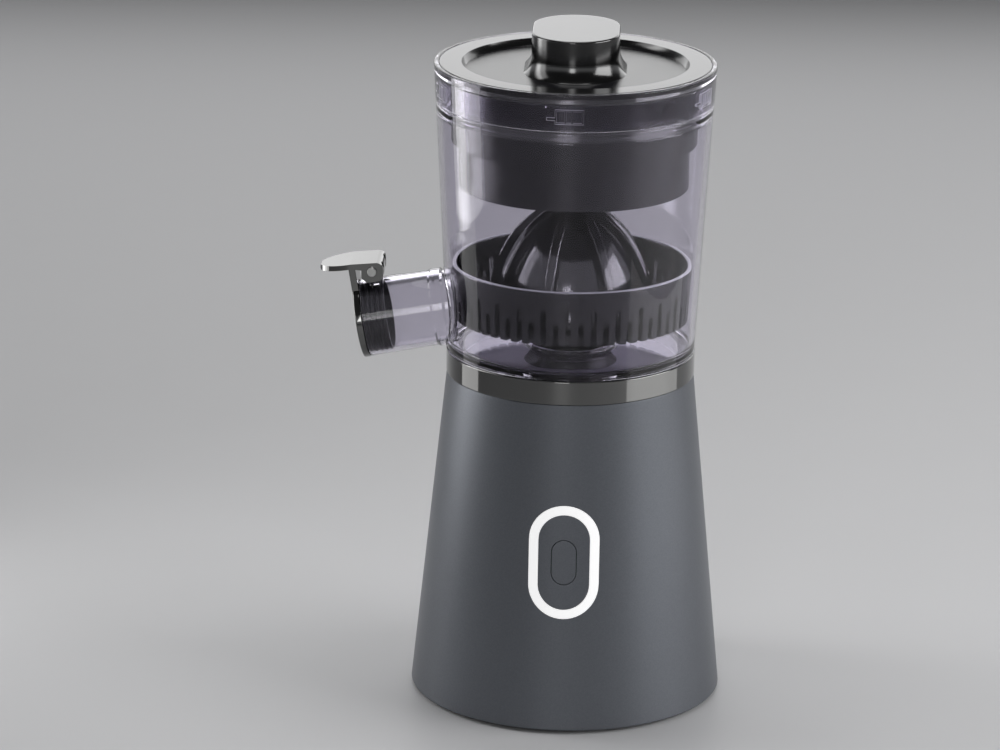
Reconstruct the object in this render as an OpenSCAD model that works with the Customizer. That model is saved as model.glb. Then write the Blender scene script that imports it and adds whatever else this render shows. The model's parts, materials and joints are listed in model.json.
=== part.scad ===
// Citrus press juicer with a motor base, a clear juice jar and a turn-to-lock lid.
// Millimetres, +Z up. The origin is on the floor, on the axis of the jar.
// The button looks towards -Y and the spout points to -X.

/* [Base] */
// Radius of the housing at its bottom edge
base_r = 70; // [66:1:74]
// Radius of the housing under the bright band
base_top_r = 55.2; // [54.8:0.1:55.4]
// Height of the housing's top edge above the floor
base_top_z = 148; // [148:0.5:149]
// Height of the bright band
band_h = 10.7; // [10.4:0.1:11]
// Gap between the housing and the floor
foot_gap = 1.5; // [1:0.1:2]
// Wall of the moulded housing
shell = 2.6; // [2.2:0.1:3]

/* [Light ring and button] */
// Outside width of the light ring
ring_w = 31; // [30:0.5:33]
// Height of the light ring, measured up the wall
ring_h = 51; // [48:0.5:54]
// Width of the lit band
ring_band = 4.1; // [3.5:0.1:4.5]
// Height of the ring's centre above the floor
ring_z = 78.7; // [74:0.5:84]
// Width of the button
button_w = 10.8; // [9:0.2:12]
// Height of the button
button_h = 19.8; // [17:0.2:22]
// How far the button goes in
button_travel = 1.2; // [0.8:0.1:1.2]

/* [Juice jar] */
// Outside radius of the jar where it meets the band
jar_r0 = 55.3; // [55:0.1:55.5]
// Outside radius of the jar under the lid
jar_r1 = 61.4; // [61:0.1:61.8]
// Height of the seam between jar and lid
seam_z = 272; // [271.5:0.5:272.5]
// Wall of the jar
jar_wall = 2.4; // [2:0.1:2.6]
// Radius of the threaded tower that lifts the cone
tower_r = 13.3; // [13:0.1:13.4]

/* [Spout] */
// Downward slope of the spout in degrees
spout_slope = 10; // [8:0.5:11]
// Outside radius of the spout at its mouth
spout_r = 17.4; // [17:0.1:17.6]
// Distance from the jar's axis to the mouth, along the spout
spout_len = 93; // [92:0.5:94]
// Radius of the spout's bore
spout_bore = 15; // [14.5:0.1:15.2]
// Thickness of the closing disc
disc_t = 3; // [2.5:0.1:3.2]

/* [Filter basket] */
// Outside radius of the basket's rim
filter_r = 53.6; // [53:0.1:53.8]
// Number of slots round the basket
slots = 60; // [40:4:60]
// Width of each slot
slot_w = 2.4; // [2:0.1:2.6]

/* [Cone] */
// Radius over the ribs at the widest point
cone_r = 39; // [37:0.5:40]
// Number of ribs on the cone
cone_ribs = 8; // [6:1:10]
// Width of each rib
rib_w = 4.4; // [3.6:0.2:5]
// How far the ribs stand out of the cone
rib_out = 4.8; // [3:0.2:5]

/* [Lid] */
// Height of the lid's rim above the floor
lid_z = 289; // [289:0.5:290]
// Height of the top of the knob above the floor
knob_z = 304.2; // [302:0.2:308]
// Width of the knob between its flats
knob_w = 38.4; // [34:0.2:42]
// Length of the knob
knob_l = 55.4; // [50:0.2:60]
// Outside radius of the press cup's lower part
cup_r = 51; // [50:0.2:51.4]
// Number of ribs inside the press cup
cup_ribs = 16; // [12:2:20]

/* [Gear train] */
// Distance between the drive axis and the idler's axis
gear_centre = 27; // [27:1:27]
// Teeth of the motor's pinion
pinion_teeth = 12; // [12:1:12]
// Teeth of the idler's large gear
idler_teeth = 60; // [60:1:60]
// Teeth of the idler's small gear
small_teeth = 14; // [14:1:14]
// Teeth of the drive gear
drive_teeth = 40; // [40:1:40]

/* [Hidden] */
$fn = 96;

// Colours
SLATE = [0.30, 0.32, 0.35];
CHROME = [0.62, 0.62, 0.63];
CLEAR = [0.62, 0.60, 0.68, 0.5];
CHARCOAL = [0.16, 0.16, 0.18];
RUBBER = [0.06, 0.06, 0.06];
STEEL = [0.55, 0.56, 0.58];
BRASS = [0.72, 0.58, 0.30];

eps = 0.01;
touch = 0.05;     // gap between pieces that sit together and stay together
run = 0.06;       // radial gap of a shaft that turns in a bush
slide_gap = 0.4;  // radial gap of pieces that lift out of each other

// Housing
cone_k = (base_r - base_top_r) / (base_top_z - foot_gap);
lean = atan(cone_k);
flange_t = 3.5;
flange_r = 44;
cover_r = 65.8;
cover_z0 = 1.7;
cover_t = 3.2;
cover_post = [60, 45];       // radius of the screw circle, first angle
post_r = 4.5;
post_h = 20;
foot_r = [52, 60];
foot_top = 3;
thread_r = 1.4;              // shank of the screws in the base
screw_r = 1.7;               // clearance hole of a screw
screw_head_r = 3.2;
head_seat_z = foot_top + 0.6;
vents = 10;
vent = [20, 18, 2.5];        // inner radius, length and width of an air slot
gland_z = 15;
gland_r = 6;
gland_lip = [2, 1.2];        // how far the outer and the inner flange stand out
gland_in = shell + 3;        // depth of the gland's inner end
gland_bore = 3.6;

// Band and deck
band_r = 55.5;
band_in = 52.9;
band_z1 = base_top_z + band_h;
deck_r = 52.7;
deck_rim = 50.6;
deck_z1 = 151.5;
boss_top = 161;
boss_r = 17.7;
boss_foot_r = 20.5;
boss_foot_z = 156;
boss_wall = 2.7;
boss_skin = 8;               // thickness under the top of the boss
deck_rim_z = band_z1 - 0.7;
deck_post = [29.5, 13.5, 11.5];  // half spacing in x, centre in y, half spacing in y

// Ring and button, as depths below the housing's surface
flange_back = 4.6;
ring_flange = 1.8;
board_depth = 11;
board_t = 1.6;
button_skin = 4;
led_count = 8;

// Motor and gears
alpha = 25;
m1 = 2 * gear_centre / (pinion_teeth + idler_teeth);
m2 = 2 * gear_centre / (small_teeth + drive_teeth);
backlash = 0.22;
motor_r = 25;
motor_wall = 2;
motor_z = [34, 40, 102];
motor_nose_r = 8;
motor_thread_r = 1.3;
motor_screw_x = 16;
rotor_r = 20;
rotor_z = [54, 90];
motor_shaft_r = 2.5;
case_r = 27;
case_wall = 2.5;
case_z = [102, 105, 128, 131.5];
pinion_z = [106, 115.5];
idler_z = [107, 114, 127];
drive_z = [118.5, 126];
shaft_r = 5;
bush_r = shaft_r + 3;
hub_r = shaft_r + 5;
idler_pin_r = 3;
bush_z = [128, 139];
deck_bush_z = [148, 157.8];

// Jar
jar_z0 = band_z1 + 0.1;
jar_k = (jar_r1 - jar_r0) / (seam_z - jar_z0);
floor_z = [158.4, 160.6];
foot_in = 47.8;
foot_out = 50.2;
foot_keys = 3;
key_angles = [-34, -23];     // the two keys of a pair
key_w = [4, 6];
key_r = 52.1;
key_z = 153;
neck_r = 58.6;
neck_in = 56.4;
neck_z = 283.5;
rail_top = neck_z - 0.2;
tower_base_r = 20.3;
tower_base_z = 164.2;
tower_z = 212.5;
tower_bore = 9.6;
bayonets = 5;
rail_t = 1.1;
rail_out = 59.6;
lug_in = 58.95;
lug_z = [275.5, 281.9];
lug_angle = [-6.9, 4.9];
lug_webs = [-2.6, 0.2];      // where the thin walls between the lug's pockets stand
lug_wall = 0.7;
lug_pocket = 0.65;
lug_tip = [-10.4, 277.1, 278.3];

// Spout, in its own frame: x up from its axis, z along it
spout_z = 186.1;
root_r = 16.75;
collar_r = 17.4;
collar_t = [50, 61.5];
seal_t = [82.5, 92.6];
seal_r = [13.4, 15.7];
seal_beads = 4;
pivot = [23.3, 85.75];
barrel_r = 5.7;
ear_r = 3;
ear_y = [5.2, 8];
ear_leg = 2.6;
ear_root = 13.5;
pin_r = 1.5;
lever_w = 22;
lever_web = 18;
lever_web_h = 26.3;
lever_tip = 14;
tongue_tip = -112.3;
disc_r = 17.6;

// Filter
filter_z = [174, 176.2, 199];
filter_wall = 2.2;
collar_in = tower_r + slide_gap;
collar_out = 17.9;
collar_z = 164.4;
slot_top = [190.1, 184.6];
slot_in = 42;

// Cone and spindle
cone_mid = 171.8;
cone_h = 54;
cone_z0 = 177.6;
cone_phase = -15.5;
cone_skin = 2.4;
hex_in = 11.2;
hex_out = 10.6;
coupling_z = [161.5, 171.5];
spindle_r = 8;
spindle_z = [163.6, 214.2];
stem_z = [172.6, 219, 223.4];
stud_r = 3.2;
nut_r = 16.8;
nut_top = 190;
web_z = [186, 188.4];

// Lid and press cup
plate_r = 60;
plate_t = 2.7;
rim_in = 60.2;
skirt_in = 60;
shelf_in = 54.7;
shelf_z = 284.5;
rim_r = 62.4;
plate_z0 = lid_z - plate_t;
dish_r = 50.2;
dish_z = 283.7;
dish_curve = 9;
knob_fillet = 10;
knob_edge = 0.8;
knob_wall = 2.2;
cup_ring_r = 54.4;
cup_step_z = 254.5;
cup_z0 = 234.3;
cup_wall = 2.2;
dome = [47, 33.7];           // radius and height of the hollow over the fruit
dome_ribs = [40, 30];        // the same over the ribs' inner edges
cup_flange_r = 56;
cup_post = [30, 45];
cup_post_r = 4.2;
cup_post_z = 272;
cup_seat_z = 262;            // where the screw heads sit
cup_thread_r = 1.3;
cup_rib_w = 1.8;
cup_rib_dip = 0.8;           // how far the ribs reach below the cup

function ellipse_r(a, b, h) = a * sqrt(max(0, 1 - pow(h / b, 2)));
function cone_at(z) = base_r - cone_k * (z - foot_gap);
function jar_at(z) = jar_r0 + jar_k * (z - jar_z0);
function arc(c, r, a0, a1, n = 8) =
    [for (i = [0:n]) [c[0] + r * cos(a0 + (a1 - a0) * i / n), c[1] + r * sin(a0 + (a1 - a0) * i / n)]];

// ---- Shared shapes -------------------------------------------------------

// A tube or a disc between two heights
module tube(r_out, r_in, z0, z1) {
    rotate_extrude() translate([r_in, z0]) square([r_out - r_in, z1 - z0]);
}

module rod(r, z0, z1) {
    translate([0, 0, z0]) cylinder(r = r, h = z1 - z0);
}

// A hexagonal bar, flat to flat
module hexbar(af, z0, z1) {
    translate([0, 0, z0]) cylinder(r = af / sqrt(3), h = z1 - z0, $fn = 6);
}

// Four copies on a circle
module four(spot) {
    for (i = [0:3]) rotate(spot[1] + 90 * i) translate([spot[0], 0, 0]) children();
}

// A slot shape with round ends, w wide and h high
module stadium(w, h) {
    square([w, h - w], center = true);
    for (s = [-1, 1]) translate([0, s * (h - w) / 2]) circle(d = w);
}

// The wall's frame: local z is outwards, local y runs up the wall
module on_wall(z, turn = 0) {
    rotate(turn) translate([0, -cone_at(z), z]) rotate([90 - lean, 0, 0]) children();
}

// The layer of the housing between two depths below its surface
module layer(d0, d1) {
    s = 1 / cos(lean);
    z0 = ring_z - 45;
    z1 = ring_z + 45;
    rotate_extrude() polygon([
        [cone_at(z0) - d1 * s, z0], [cone_at(z0) - d0 * s, z0],
        [cone_at(z1) - d0 * s, z1], [cone_at(z1) - d1 * s, z1],
    ]);
}

// A stadium cut out of such a layer, at the ring
module wall_stadium(w, h, d0, d1) {
    intersection() {
        layer(d0, d1);
        on_wall(ring_z) translate([0, 0, -25]) linear_extrude(35) stadium(w, h);
    }
}

// A screw with a round head: its head's seat is at z = 0 and its shank goes up
module screw(r, length, head_r, head_h) {
    cylinder(r = r, h = length);
    difference() {
        translate([0, 0, -head_h]) cylinder(r = head_r, h = head_h);
        for (a = [0, 90]) rotate(a)
            translate([-head_r * 0.6, -0.4, -head_h - eps]) cube([head_r * 1.2, 0.8, head_h / 2]);
    }
}

// ---- Base ----------------------------------------------------------------

module housing_form() {
    inner = shell / cos(lean);
    rotate_extrude() polygon([
        [base_r - 0.8, foot_gap], [base_r, foot_gap + 0.8],
        [base_top_r + 0.4 * cone_k, base_top_z - 0.4], [base_top_r - 0.4, base_top_z],
        [flange_r, base_top_z], [flange_r, base_top_z - flange_t],
        [cone_at(base_top_z - flange_t) - inner, base_top_z - flange_t],
        [cone_at(foot_gap) - inner, foot_gap],
    ]);
}

module base_housing() {
    color(SLATE) difference() {
        union() {
            housing_form();
            intersection() {
                rod(base_r - shell, cover_z0 + cover_t, cover_z0 + cover_t + post_h);
                four(cover_post) {
                    rod(post_r, 0, 40);
                    translate([0, -1.25, 0]) cube([8, 2.5, 40]);
                }
            }
        }
        on_wall(ring_z) translate([0, 0, -25]) linear_extrude(35)
            stadium(ring_w + 2 * touch, ring_h + 2 * touch);
        on_wall(gland_z, 180) translate([0, 0, -10]) cylinder(r = gland_r + touch, h = 20);
        four(cover_post) rod(thread_r, 0, post_h);
    }
}

module bottom_cover() {
    color(CHARCOAL) difference() {
        rod(cover_r, cover_z0, cover_z0 + cover_t);
        tube(foot_r[1] + touch, foot_r[0] - touch, cover_z0 - 1, foot_top);
        four(cover_post) {
            rod(screw_r + 0.2, 0, 10);
            rod(screw_head_r + 0.3, 0, head_seat_z);
        }
        for (i = [0:vents - 1]) rotate(360 / vents * i)
            translate([vent[0], -vent[2] / 2, 0]) cube([vent[1], vent[2], 10]);
    }
}

module foot_ring() {
    color(RUBBER) difference() {
        rotate_extrude() polygon([
            [foot_r[0] + 0.6, 0], [foot_r[1] - 0.6, 0], [foot_r[1], 0.6], [foot_r[1], foot_top - touch],
            [foot_r[0], foot_top - touch], [foot_r[0], 0.6],
        ]);
        four(cover_post) rod(screw_head_r + 0.4, -1, 10);
    }
}

module cover_screws() {
    color(STEEL) four(cover_post) translate([0, 0, head_seat_z]) screw(thread_r, 12, screw_head_r, 1.6);
}

module chrome_band() {
    c = 0.4;
    color(CHROME) rotate_extrude() polygon([
        [band_in, base_top_z], [band_r - c, base_top_z], [band_r, base_top_z + c],
        [band_r, band_z1 - c], [band_r - c, band_z1], [band_in, band_z1],
    ]);
}

module top_deck() {
    color(CHARCOAL) difference() {
        union() {
            rod(deck_r, base_top_z, deck_z1);
            difference() {
                tube(deck_r, deck_rim, base_top_z, deck_rim_z);
                foot_key_shapes(slide_gap);
            }
            rotate_extrude() polygon(concat(
                [[0, deck_z1 - 1], [boss_foot_r + 1.5, deck_z1 - 1], [boss_foot_r + 1.5, deck_z1]],
                [[boss_foot_r, deck_z1 + 1.2], [boss_r, boss_foot_z], [boss_r, boss_top - 1.5],
                [boss_r - 1.5, boss_top], [0, boss_top]]
            ));
            deck_posts() rod(post_r, case_z[3] + touch, base_top_z);
        }
        rod(boss_r - boss_wall, base_top_z - 1, boss_top - boss_skin);
        rod(bush_r + touch, base_top_z, boss_top + 1);
        deck_posts() rod(thread_r, case_z[3] - 1, base_top_z);
    }
    color(CHARCOAL) difference() {
        rod(hub_r, base_top_z, deck_bush_z[1]);
        rod(bush_r + touch, base_top_z - 1, boss_top);
    }
}

module deck_posts() {
    for (sx = [-1, 1], sy = [-1, 1])
        translate([sx * deck_post[0], deck_post[1] + sy * deck_post[2], 0]) children();
}

module deck_seal() {
    color(RUBBER) rotate_extrude() polygon([
        [shaft_r + run, deck_bush_z[1] + touch], [bush_r, deck_bush_z[1] + touch],
        [bush_r, boss_top], [bush_r - 1, boss_top], [shaft_r + run, boss_top - 1.2],
    ]);
}

// ---- Ring, button and control ----------------------------------------------

module light_ring() {
    inner_w = ring_w - 2 * ring_band;
    inner_h = ring_h - 2 * ring_band;
    color("white") {
        difference() {
            union() {
                wall_stadium(ring_w, ring_h, 0, flange_back);
                wall_stadium(ring_w + 2 * ring_flange, ring_h + 2 * ring_flange, shell + 0.1, flange_back);
            }
            on_wall(ring_z) translate([0, 0, -25]) linear_extrude(35) stadium(inner_w, inner_h);
        }
        board_posts() translate([0, 0, -board_depth]) cylinder(r = 2, h = board_depth - flange_back + 0.6);
    }
}

module board_posts() {
    for (s = [-1, 1]) on_wall(ring_z) translate([0, s * (ring_h - ring_band) / 2, 0]) children();
}

module control_panel() {
    inner_w = ring_w - 2 * ring_band - 2 * touch;
    inner_h = ring_h - 2 * ring_band - 2 * touch;
    color(SLATE) difference() {
        wall_stadium(inner_w, inner_h, 0, flange_back);
        on_wall(ring_z) translate([0, 0, -25]) linear_extrude(35) stadium(button_w + 0.5, button_h + 0.5);
    }
}

module power_button() {
    color(SLATE) {
        wall_stadium(button_w, button_h, 0, button_skin + 1);
        wall_stadium(button_w + 2, button_h + 2, flange_back + 0.2, flange_back + 1.4);
        on_wall(ring_z) translate([0, 0, -6.4]) cylinder(r = 2, h = 2);
    }
}

module control_board() {
    color([0.10, 0.32, 0.20]) on_wall(ring_z) translate([0, 0, -board_depth - board_t]) difference() {
        linear_extrude(board_t) square([30, ring_h + 1], center = true);
        for (s = [-1, 1]) translate([0, s * (ring_h - ring_band) / 2, -1]) cylinder(r = 0.8, h = 5);
    }
}

module ring_leds() {
    color("white") on_wall(ring_z) for (i = [0:led_count - 1]) {
        a = 22.5 + 360 / led_count * i;
        translate([13 * cos(a) - 1.4, 9.5 * sign(sin(a)) + 11.5 * sin(a) - 1.75, -board_depth])
            cube([2.8, 3.5, 1.6]);
    }
}

module push_switch() {
    color(RUBBER) on_wall(ring_z) {
        translate([-3, -3, -board_depth]) cube([6, 6, 2.6]);
        translate([0, 0, -board_depth + 2.6 - eps]) cylinder(r = 1.7, h = 0.7);
    }
}

module cord_gland() {
    color(RUBBER) difference() {
        on_wall(gland_z, 180) {
            rod(gland_r, -gland_in, 2);
            rod(gland_r + gland_lip[0], 2 * touch, 2 + 2 * touch);
            rod(gland_r + gland_lip[1], -gland_in, 1.8 - gland_in);
        }
        on_wall(gland_z, 180) rod(gland_bore, -20, 20);
    }
}

// ---- Motor and gears --------------------------------------------------------

// Involute gear outline: teeth, module, tip and root as parts of the module
module gear_outline(teeth, m, tip = 0.9, root = 1.2) {
    rp = m * teeth / 2;
    rb = rp * cos(alpha);
    ra = rp + tip * m;
    rf = rp - root * m;
    function inv(a) = tan(a) * 180 / PI - a;
    half_pitch = 90 / teeth - backlash / 2 / rp * 180 / PI / 2;
    function half_at(r) = half_pitch + inv(alpha) - (r > rb ? inv(acos(rb / r)) : 0);
    radii = concat([rf], [for (i = [0:4]) max(rf + eps, rb) + (ra - max(rf + eps, rb)) * i / 4]);
    polygon([
        for (t = [0:teeth - 1])
            for (k = [0:2 * len(radii) - 1])
                let (up = k < len(radii), r = radii[up ? k : 2 * len(radii) - 1 - k])
                let (a = 360 / teeth * t + (up ? -1 : 1) * half_at(r))
                [r * cos(a), r * sin(a)],
    ]);
}

module gear(teeth, m, z0, z1, turn = 0) {
    translate([0, 0, z0]) linear_extrude(z1 - z0) rotate(turn) gear_outline(teeth, m);
}

// Plan of the gearbox: a slot shape over both axes
module box_plan(r) {
    for (y = [0, gear_centre]) translate([0, y]) circle(r = r);
    translate([-r, 0]) square([2 * r, gear_centre]);
}

module motor_case() {
    color(STEEL) difference() {
        union() {
            rod(motor_r, motor_z[1], motor_z[2]);
            rod(motor_nose_r, motor_z[2] - 1, case_z[0] + 2.8);
        }
        rod(motor_shaft_r + run, motor_z[1] - 1, case_z[1]);
        rod(motor_r - motor_wall, motor_z[1] - 1, motor_z[2] - 2 * motor_wall);
        motor_screw_spots() rod(motor_thread_r, motor_z[2] - 5, motor_z[2] + 5);
    }
}

module motor_screw_spots() {
    for (s = [-1, 1]) translate([s * motor_screw_x, 0, 0]) children();
}

module motor_end_cap() {
    color(CHARCOAL) difference() {
        union() {
            rod(motor_r, motor_z[0], motor_z[1] - touch);
            tube(motor_r - motor_wall - touch, motor_r - 2 * motor_wall, motor_z[0], motor_z[1] + 4);
            rod(6, motor_z[0] - 3, motor_z[0] + 1);
        }
        rod(motor_shaft_r + run, motor_z[0] - 1, motor_z[1] + 10);
        for (a = [0:60:300]) rotate(a) translate([11, -2, motor_z[0] - 1]) cube([9, 4, 12]);
    }
}

module motor_screws() {
    color(STEEL) motor_screw_spots() translate([0, 0, case_z[1]]) mirror([0, 0, 1])
        screw(motor_thread_r, 6.5, 2.5, 1.4);
}

// The wound core on its shaft, with the commutator at its lower end
module motor_rotor() {
    color(STEEL) {
        rod(motor_shaft_r, motor_z[0], pinion_z[1] + 0.8);
        rod(rotor_r, rotor_z[0], rotor_z[1]);
        rod(rotor_r / 2, rotor_z[0] - 8, rotor_z[0] + 1);
    }
}

module motor_pinion() {
    color(BRASS) difference() {
        gear(pinion_teeth, m1, pinion_z[0], pinion_z[1], 90);
        rod(motor_shaft_r, 0, 200);
    }
}

module lug_plan(r) {
    for (sx = [-1, 1], sy = [-1, 1])
        translate([sx * deck_post[0], deck_post[1] + sy * deck_post[2]]) circle(r = r);
}

module gearbox_case() {
    color(CHARCOAL) difference() {
        union() {
            translate([0, 0, case_z[0]]) linear_extrude(case_z[2] - case_z[0]) box_plan(case_r);
            translate([0, 0, case_z[0]]) linear_extrude(case_z[2] - case_z[0]) lug_plan(post_r);
        }
        translate([0, 0, case_z[1]]) linear_extrude(40) box_plan(case_r - case_wall);
        translate([0, 0, case_z[0] - 1]) linear_extrude(40) lug_plan(screw_r);
        rod(motor_nose_r + touch, case_z[0] - 1, case_z[1] + 1);
        motor_screw_spots() rod(motor_thread_r + 0.2, case_z[0] - 1, case_z[1] + 1);
        translate([0, gear_centre, 0]) rod(idler_pin_r, case_z[0] + 0.5, case_z[1] + 1);
    }
}

module gearbox_cover() {
    color(CHARCOAL) difference() {
        union() {
            translate([0, 0, case_z[2]]) linear_extrude(case_z[3] - case_z[2]) box_plan(case_r);
            translate([0, 0, case_z[2]]) linear_extrude(case_z[3] - case_z[2]) lug_plan(post_r);
            rod(hub_r, case_z[2], bush_z[1]);
            translate([0, gear_centre, 0]) rod(6, case_z[2], case_z[3] + 3);
        }
        translate([0, 0, case_z[2] - 1]) linear_extrude(40) lug_plan(screw_r);
        rod(bush_r + touch, case_z[2] - 1, bush_z[1] + 1);
        translate([0, gear_centre, 0]) rod(idler_pin_r, case_z[2] - 1, case_z[3] + 1.5);
    }
}

module gearbox_screws() {
    color(STEEL) deck_posts() translate([0, 0, case_z[0]]) screw(thread_r, 42, 2.8, 2);
}

module idler_pin() {
    color(STEEL) translate([0, gear_centre, 0]) rod(idler_pin_r, case_z[0] + 0.6, case_z[3] + 1.4);
}

// A tooth of each small gear points at a gap of the gear it drives
module idler_gear() {
    color("ivory") translate([0, gear_centre, 0]) difference() {
        union() {
            gear(idler_teeth, m1, idler_z[0], idler_z[1], -90 + 180 / idler_teeth);
            gear(small_teeth, m2, idler_z[1] - eps, idler_z[2], -90);
        }
        rod(idler_pin_r + run, 0, 200);
        tube(m1 * idler_teeth / 2 - 3, m2 * small_teeth / 2 + 2, idler_z[0] - 1, idler_z[0] + 2);
    }
}

module drive_gear() {
    color("ivory") difference() {
        union() {
            gear(drive_teeth, m2, drive_z[0], drive_z[1], 90 + 180 / drive_teeth);
            rod(9, drive_z[0], drive_z[1] + 1.5);
        }
        rod(shaft_r, 0, 200);
        tube(m2 * drive_teeth / 2 - 3, 11, drive_z[1] - 2.5, drive_z[1] + 1);
        for (a = [0:60:300]) rotate(a) translate([13.8, 0, 0]) rod(2, 100, 140);
    }
}

module drive_shaft() {
    color(STEEL) {
        rod(shaft_r, drive_z[0] - 0.6, coupling_z[0]);
        rod(stud_r, coupling_z[0] - 1, coupling_z[1] - 2);
    }
}

module shaft_bushes() {
    color(BRASS) {
        tube(bush_r, shaft_r + run, bush_z[0] + 0.2, bush_z[1]);
        tube(bush_r, shaft_r + run, deck_bush_z[0] + 0.2, deck_bush_z[1]);
    }
}

module drive_coupling() {
    color(STEEL) difference() {
        hexbar(hex_out, coupling_z[0], coupling_z[1]);
        rod(stud_r, coupling_z[0] - 1, coupling_z[1] - 2);
    }
}

// ---- Jar ----------------------------------------------------------------------

module jar_form() {
    in0 = jar_wall;
    rotate_extrude() polygon([
        // outside, upwards
        [foot_in, deck_z1], [foot_out, deck_z1], [foot_out, jar_z0],
        [jar_at(jar_z0) - 0.6, jar_z0], [jar_at(jar_z0 + 0.6), jar_z0 + 0.6],
        [jar_at(seam_z), seam_z], [neck_r, seam_z], [neck_r, neck_z - 0.2], [neck_r - 0.2, neck_z],
        [neck_in, neck_z], [neck_in, seam_z - 2],
        // inside, downwards, with a rounded corner at the floor
        [jar_at(seam_z - 5) - in0, seam_z - 5], [jar_at(floor_z[1] + 5) - in0, floor_z[1] + 5],
        [jar_at(floor_z[1] + 2) - in0 - 0.7, floor_z[1] + 2],
        [jar_at(floor_z[1]) - in0 - 3, floor_z[1]],
        // tower
        [tower_base_r + 1, floor_z[1]], [tower_base_r, floor_z[1] + 1],
        [tower_base_r, tower_base_z - 2], [tower_base_r - 2, tower_base_z],
        [tower_r, tower_base_z], [tower_r, tower_z - 0.6], [tower_r - 0.6, tower_z],
        [tower_bore, tower_z], [tower_bore, boss_top + 1],
        [boss_r + 0.6, boss_top + 1], [boss_r + 0.6, floor_z[0]],
        [foot_in, floor_z[0]],
    ]);
}

// The keys on the jar's foot that stop it turning, or the notches that they drop into
module foot_key_shapes(gap) {
    z0 = gap > 0 ? deck_z1 : key_z;
    for (i = [0:foot_keys - 1], k = [0, 1]) {
        half = key_w[k] / 2 + gap;
        rotate(360 / foot_keys * i + key_angles[k])
            curved_block(foot_out - 0.3, key_r + 2 * gap, -half, half, z0, jar_z0 + 0.5);
    }
}

// One bayonet rail on the neck: a level bar with a sloping stop at its far end
module rail() {
    y0 = -rail_out - 2;
    intersection() {
        tube(rail_out, neck_r - 0.3, seam_z, neck_z);
        translate([0, y0 + 16, 0]) rotate([90, 0, 0]) linear_extrude(16) polygon([
            [rail_out * sin(-10.9), rail_top], [rail_out * sin(-27.6), rail_top],
            [rail_out * sin(-36), seam_z + 2.6], [rail_out * sin(-34.2), seam_z + 2.6],
            [rail_out * sin(-26.6), rail_top - rail_t], [rail_out * sin(-10.9), rail_top - rail_t],
        ]);
    }
}

module in_spout() {
    translate([0, 0, spout_z]) rotate([0, -90 - spout_slope, 0]) children();
}

// The flap's axis in the spout's frame: local z is to the front
module on_pivot() {
    translate([pivot[0], 0, pivot[1]]) rotate([90, 0, 0]) children();
}

module juice_jar() {
    color(CLEAR) difference() {
        union() {
            jar_form();
            for (i = [0:bayonets - 1]) rotate(360 / bayonets * i) rail();
            foot_key_shapes(0);
        }
        in_spout() rod(root_r - 0.5 + touch, 30, spout_len);
    }
}

module tower_bushes() {
    color(CHARCOAL) {
        tube(tower_bore, spindle_r + run, tower_base_z + 0.6, tower_base_z + 10);
        tube(tower_bore, spindle_r + run, tower_z - 10, tower_z);
    }
}

// The tube with a collar against the jar's wall and two ears for the flap's pin
module juice_spout() {
    color(CLEAR) difference() {
        union() {
            difference() {
                in_spout() {
                    rod(root_r - 0.5, 30, 62);
                    translate([0, 0, collar_t[0] + 4])
                        cylinder(r1 = root_r, r2 = spout_r, h = spout_len - collar_t[0] - 4);
                    rod(collar_r, collar_t[0], collar_t[1]);
                }
                spout_root_cut();
            }
            in_spout() for (s = [-1, 1]) ear(s);
        }
        in_spout() {
            rod(spout_bore, 0, spout_len + 10);
            rod(seal_r[1] + touch, seal_t[0] - touch, spout_len + 10);
            on_pivot() cylinder(r = pin_r, h = 30, center = true);
        }
    }
}

// What the spout's root must leave free: the jar's inside, and the wall but for the hole
module spout_root_cut() {
    rotate_extrude() polygon([
        [0, 150], [jar_at(150) - jar_wall, 150], [jar_at(230) - jar_wall, 230], [0, 230],
    ]);
    difference() {
        rotate_extrude() polygon([
            [jar_at(150) - jar_wall - 1, 150], [jar_at(150) + touch, 150],
            [jar_at(230) + touch, 230], [jar_at(230) - jar_wall - 1, 230],
        ]);
        in_spout() rod(root_r - 0.5, 20, 70);
    }
}

module ear(s) {
    translate([0, s > 0 ? ear_y[0] : -ear_y[1], 0]) {
        h = ear_y[1] - ear_y[0];
        translate([pivot[0], 0, pivot[1]]) rotate([-90, 0, 0]) cylinder(r = ear_r, h = h);
        translate([ear_root, 0, pivot[1] - ear_leg * 0.75]) cube([pivot[0] - ear_root, h, ear_leg * 1.5]);
    }
}

// The room that an ear needs inside the flap's barrel, in every position of the flap
module ear_slot(s) {
    gap = 0.3;
    w = ear_y[1] - ear_y[0] + 2 * gap;
    back = barrel_r + 1;
    translate([pivot[0], s > 0 ? ear_y[0] - gap : -ear_y[1] - gap, pivot[1]]) {
        rotate([-90, 0, 0]) cylinder(r = ear_r + gap, h = w);
        translate([-back - 2, 0, -back]) cube([back + 2 + ear_leg, w, back + spout_len + 0.1 - pivot[1]]);
    }
}

module spout_seal() {
    pitch = (seal_t[1] - seal_t[0] - 1) / seal_beads;
    color(RUBBER) in_spout() rotate_extrude() polygon([
        // outside, with a groove behind each bead
        for (i = [0:seal_beads - 1], p = [[0, 0], [0, 1.2], [0.6, 1.5], [0.6, pitch - 0.3]])
            [seal_r[1] - p[0], seal_t[0] + pitch * i + p[1]],
        [seal_r[1], seal_t[1] - 1], [seal_r[1], seal_t[1]], [seal_r[0] + 0.5, seal_t[1]],
        [seal_r[0], seal_t[1] - 1], [seal_r[0] + 0.8, seal_t[1] - 2.2], [seal_r[0], seal_t[1] - 3.4],
        [seal_r[0] + 0.8, seal_t[1] - 4.6], [seal_r[0] + 0.8, seal_t[0] + 2], [seal_r[0] + 1.4, seal_t[0]],
    ]);
}

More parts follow.
